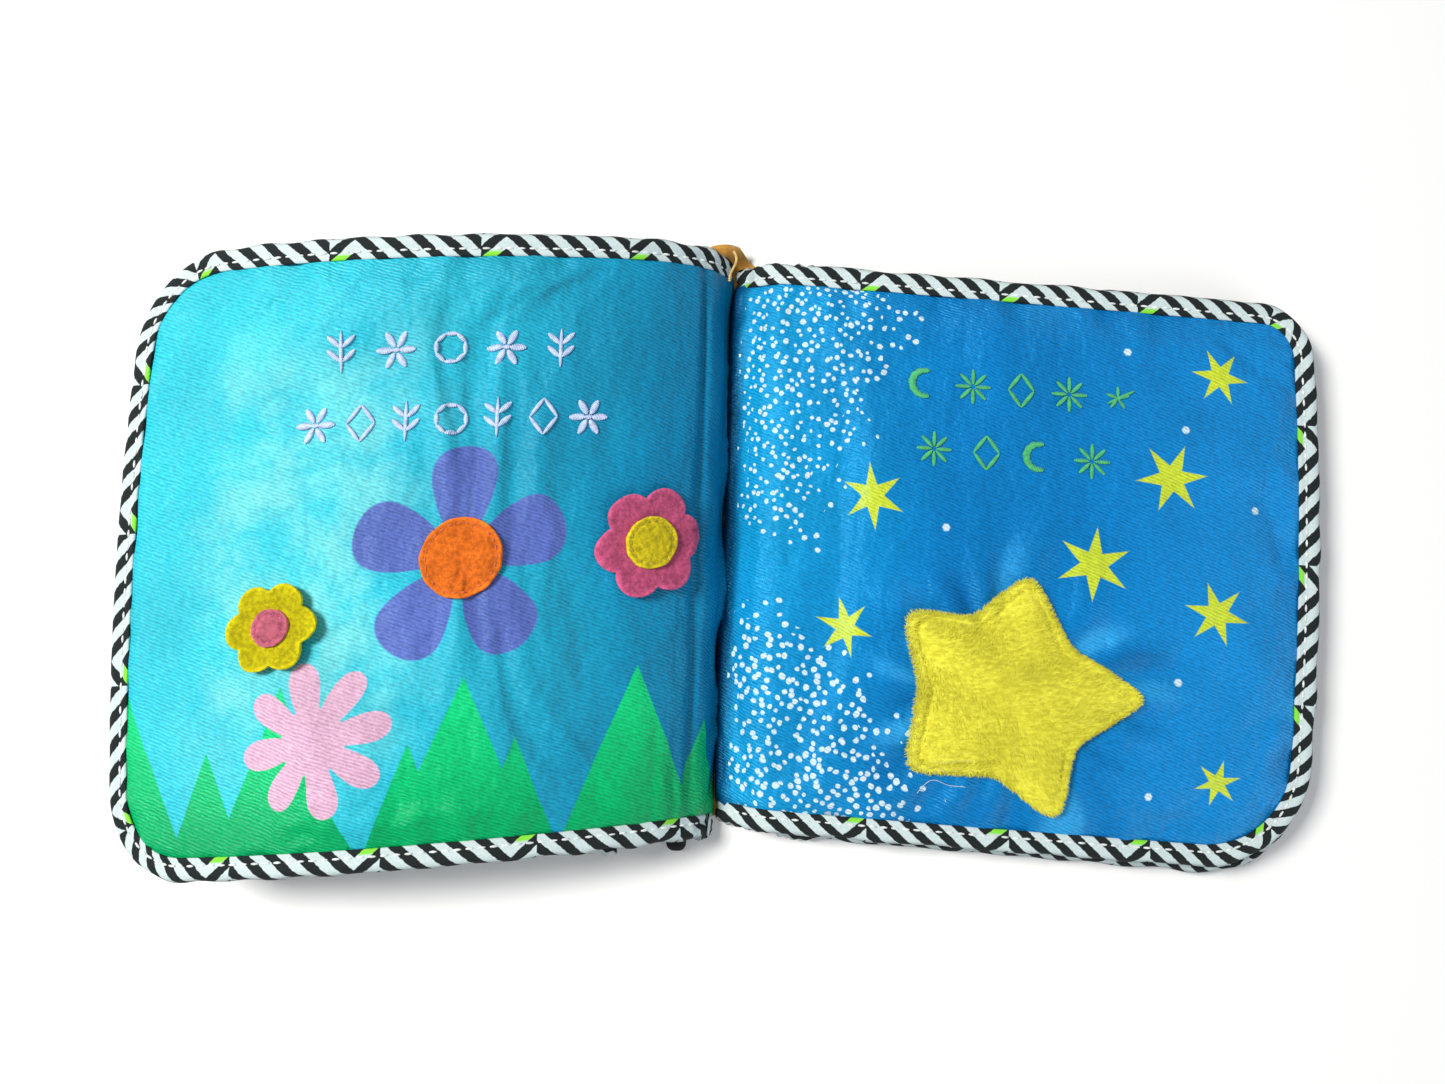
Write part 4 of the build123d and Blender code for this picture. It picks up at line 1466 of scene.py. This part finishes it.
def embroider(name, bed, rows, material, body):
    """Sew rows of motifs: each row is a height, a first and a last distance, and its motifs."""
    walks, ups, turns, halves, rises = [], [], [], [], []
    for height, first, last, motifs in rows:
        for distance, lenses in zip(np.linspace(first, last, len(motifs)), motifs):
            centre = bed.leaf.walk_to(distance * MM)
            for x, y, long_half, wide_half, angle in lenses:
                steps = np.arange(-long_half * MM + THREAD_PITCH / 2, long_half * MM, THREAD_PITCH)
                round_off = np.sqrt(np.clip(1 - (steps / (long_half * MM)) ** 2, 0.05, 1))
                walks.append(centre + bed.leaf.side * x * MM + steps * math.cos(angle) * bed.leaf.side)
                ups.append(height * MM + y * MM + steps * math.sin(angle))
                turns.append(np.full_like(steps, angle + math.pi / 2 - 0.25))
                halves.append(wide_half * MM * round_off)
                rises.append(0.12 * MM + 0.2 * MM * round_off)
    walk, up, turn, half, rise = (np.concatenate(item) for item in (walks, ups, turns, halves, rises))
    along, higher, off = bed.axes(walk, up)
    ahead = np.cos(turn)[:, None] * along * bed.leaf.side + np.sin(turn)[:, None] * higher
    aside = np.cross(off, ahead)
    frames = np.stack([ahead * half[:, None], aside * THREAD_HALF_WIDTH, off * THREAD_HALF_WIDTH], 1)
    piece = many(name, bed.lay(walk, up, rise), frames)
    dress(piece, material, body)
    print(name, len(walk), "threads")


embroider("left_embroidery", LEFT_BED,
          [(51.5, 102, 46, [SPRIG, BLOSSOM, WREATH, BLOSSOM, SPRIG]),
           (33.0, 108, 38, [BLOSSOM, LOZENGE, SPRIG, WREATH, SPRIG, LOZENGE, BLOSSOM])],
          lilac_thread, "front_half")
embroider("right_embroidery", RIGHT_BED,
          [(48.5, 55, 109, [MOON, SPARK, LOZENGE, SPARK, COMET]),
           (30.0, 58, 102, [SPARK, LOZENGE, MOON, SPARK])],
          green_thread, "back_half")

# %% [markdown]
# ## Spine
# A strip of mustard cotton joins the two halves under the gutter. It is fixed in place and
# rides on neither half. At the top it rises in a small arch between the pages.

# %% Spine cloth
cotton, kit, shader = new_material("gold_cotton", 0.85, Sheen_Weight=0.2)
cloth = kit.cloth_map()
threads = kit.group(weave_tree, Vector=cloth, Turns=2 * math.pi / COTTON_THREAD).outputs["Height"]
cloud = kit.noise(cloth, 14.0, 3.0)
colour = kit.mix(kit.step(cloud, 0.3, 0.7), linear(150, 100, 22), linear(208, 156, 62))
kit.feed(shader.inputs["Base Color"], colour)
kit.feed(shader.inputs["Normal"], kit.bump(kit.scaled(cloud, 2.0, threads), 0.3, 0.15 * MM))
SPINE_HALF_WIDTH, SPINE_LOW, SPINE_HIGH = 15.4 * MM, -79.5 * MM, 86.6 * MM
SPINE_LEVEL, SPINE_THICKNESS = 0.6 * MM, 0.9 * MM
# Above this height the strip narrows to its top and moves over to the left.
SPINE_NECK, SPINE_TOP_HALF_WIDTH, SPINE_TOP_SHIFT = 78 * MM, 4.0 * MM, 3.2 * MM
# The small arch: where it begins, how soon it is full, half its width and its height.
SPINE_ARCH_FROM, SPINE_ARCH_RUN = 83.4 * MM, 1.8 * MM
SPINE_ARCH_HALF_WIDTH, SPINE_ARCH_HEIGHT = 7 * MM, 7.0 * MM
spine, share, level = grid_piece("spine_cloth", 32, 140)
y = SPINE_LOW + level * (SPINE_HIGH - SPINE_LOW)
past = np.clip((y - SPINE_NECK) / (SPINE_HIGH - SPINE_NECK), 0, 1)
half = SPINE_HALF_WIDTH - (SPINE_HALF_WIDTH - SPINE_TOP_HALF_WIDTH) * past**0.6
x = (2 * share - 1) * half - SPINE_TOP_SHIFT * past
arch = np.clip(1 - ((2 * share - 1) * half / SPINE_ARCH_HALF_WIDTH) ** 2, 0, 1)
arch = arch * np.clip((y - SPINE_ARCH_FROM) / SPINE_ARCH_RUN, 0, 1)
slack = 0.12 * MM * soft_noise(y / (5 * MM) + x / (7 * MM), 51)
z = SPINE_LEVEL + SPINE_ARCH_HEIGHT * arch + slack
move_points(spine, np.stack([x, y, z], 1))
write_uv(spine, x, y)
outward(spine)
add_modifier(spine, "SOLIDIFY", thickness=SPINE_THICKNESS, offset=0.0)
spine.data.materials.append(cotton)
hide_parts("spine_strip")
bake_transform(spine)
print("spine cloth", len(spine.data.polygons), "faces")

# %% Loose ends
# A black end of tape shows under the left page, the tape is gathered where it meets the gutter,
# and a loop of gold thread hangs there. Half sizes and places are in millimetres.
TAIL_SIZE, TAIL_AT = np.array([2.9, 3.0, 1.1]), np.array([-10.6, -86.8, 2.4])
GATHER_SIZE, GATHER_AT = np.array([1.5, 3.6, 2.6]), np.array([-1.9, -81.6, 3.2])
gold_thread = thread_material("gold_thread", (216, 182, 104))
tail, angle, tilt = ball_piece("tape_tail", 28, 14)
flat = points_of(tail)
flat = np.sign(flat) * np.abs(flat) ** 0.75
move_points(tail, flat * TAIL_SIZE * MM + TAIL_AT * MM)
write_uv(tail, 0 * angle + 3.4 * MM, 0 * tilt)
outward(tail, 0.0)
gather, angle, tilt = ball_piece("gutter_gather", 40, 20)
flat = points_of(gather)
ruffle = 1 + 0.10 * np.sin(9 * angle) * np.cos(tilt)
move_points(gather, flat * ruffle[:, None] * GATHER_SIZE * MM + GATHER_AT * MM)
write_uv(gather, flat[:, 0] * 7 * MM, flat[:, 1] * 1.5 * MM + 3 * MM)
outward(gather, 0.0)
dress(gather, tape_cloth, "front_half")
tail_cloth, kit, shader = new_material("black_tape", 0.85)
shader.inputs["Base Color"].default_value = linear(24, 28, 30)
dress(tail, tail_cloth, "front_half")


def strand(name, points, thickness, material, body):
    """A thin thread through points in space, as a row of overlapping stretched balls."""
    steps = np.diff(points, axis=0)
    size = np.linalg.norm(steps, axis=1)[:, None]
    ahead = steps / size
    aside = unit(np.cross(ahead, (0.0, 0.0, 1.0)))
    frames = np.stack([ahead * size * 0.62, aside * thickness, np.cross(ahead, aside) * thickness], 1)
    piece = many(name, (points[:-1] + points[1:]) / 2, frames)
    dress(piece, material, body)


turn = np.linspace(0, 1, 22)
loop = np.stack([-0.6 + 0.9 * np.sin(5 * turn), 83.5 - 9.0 * turn, 11.5 + 1.6 * np.sin(3 * turn)], 1) * MM
strand("gold_loop", loop, 0.42 * MM, gold_thread, "back_half")
lint_walk = RIGHT_TOP.walk_to(56 * MM) + np.linspace(0, 13, 30) * MM
lint_up = (-66.5 + 4.2 * np.sin(np.linspace(0, 2.6, 30)) + 1.2 * np.sin(np.linspace(0, 7, 30))) * MM
strand("lint", RIGHT_BED.lay(lint_walk, lint_up, 0.25 * MM), 0.09 * MM, white_thread,
       "back_half")
print("loose ends")

# %% [markdown]
# ## Closing the book
# When the book closes, the arched left pages are pressed between the covers and the plush star
# is pressed against its page. The star has some filling too. Here the pieces of the left stack
# and the star are each given a mesh of their own, and the point where the star sits on its page is found.

# %% Own meshes for the left stack and the star
stack = [name for name, body in BODY_OF.items() if body == "front_half" and "front_cover" not in name]
for name in stack:
    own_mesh(bpy.data.objects[name])
star_foot = RIGHT_TOP.place(np.array([STAR_WALK]), np.array([STAR_UP]), np.array([0.0]))[0]
for name in ("star_body", "star_fibres"):
    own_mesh(bpy.data.objects[name])
print("pressed when closed:", ", ".join(stack), "and the star")

# %% [markdown]
# ## Floor
# The floor is only there for the picture: it catches the shadows and isn't part of the book.

# %% Floor
clear_selection()
bpy.ops.mesh.primitive_plane_add(size=6)
floor = bpy.context.object
floor.name = "floor"
paper, kit, shader = new_material("floor_paper", 0.9)
shader.inputs["Base Color"].default_value = (0.9, 0.9, 0.9, 1)
floor.data.materials.append(paper)
print("floor ready")
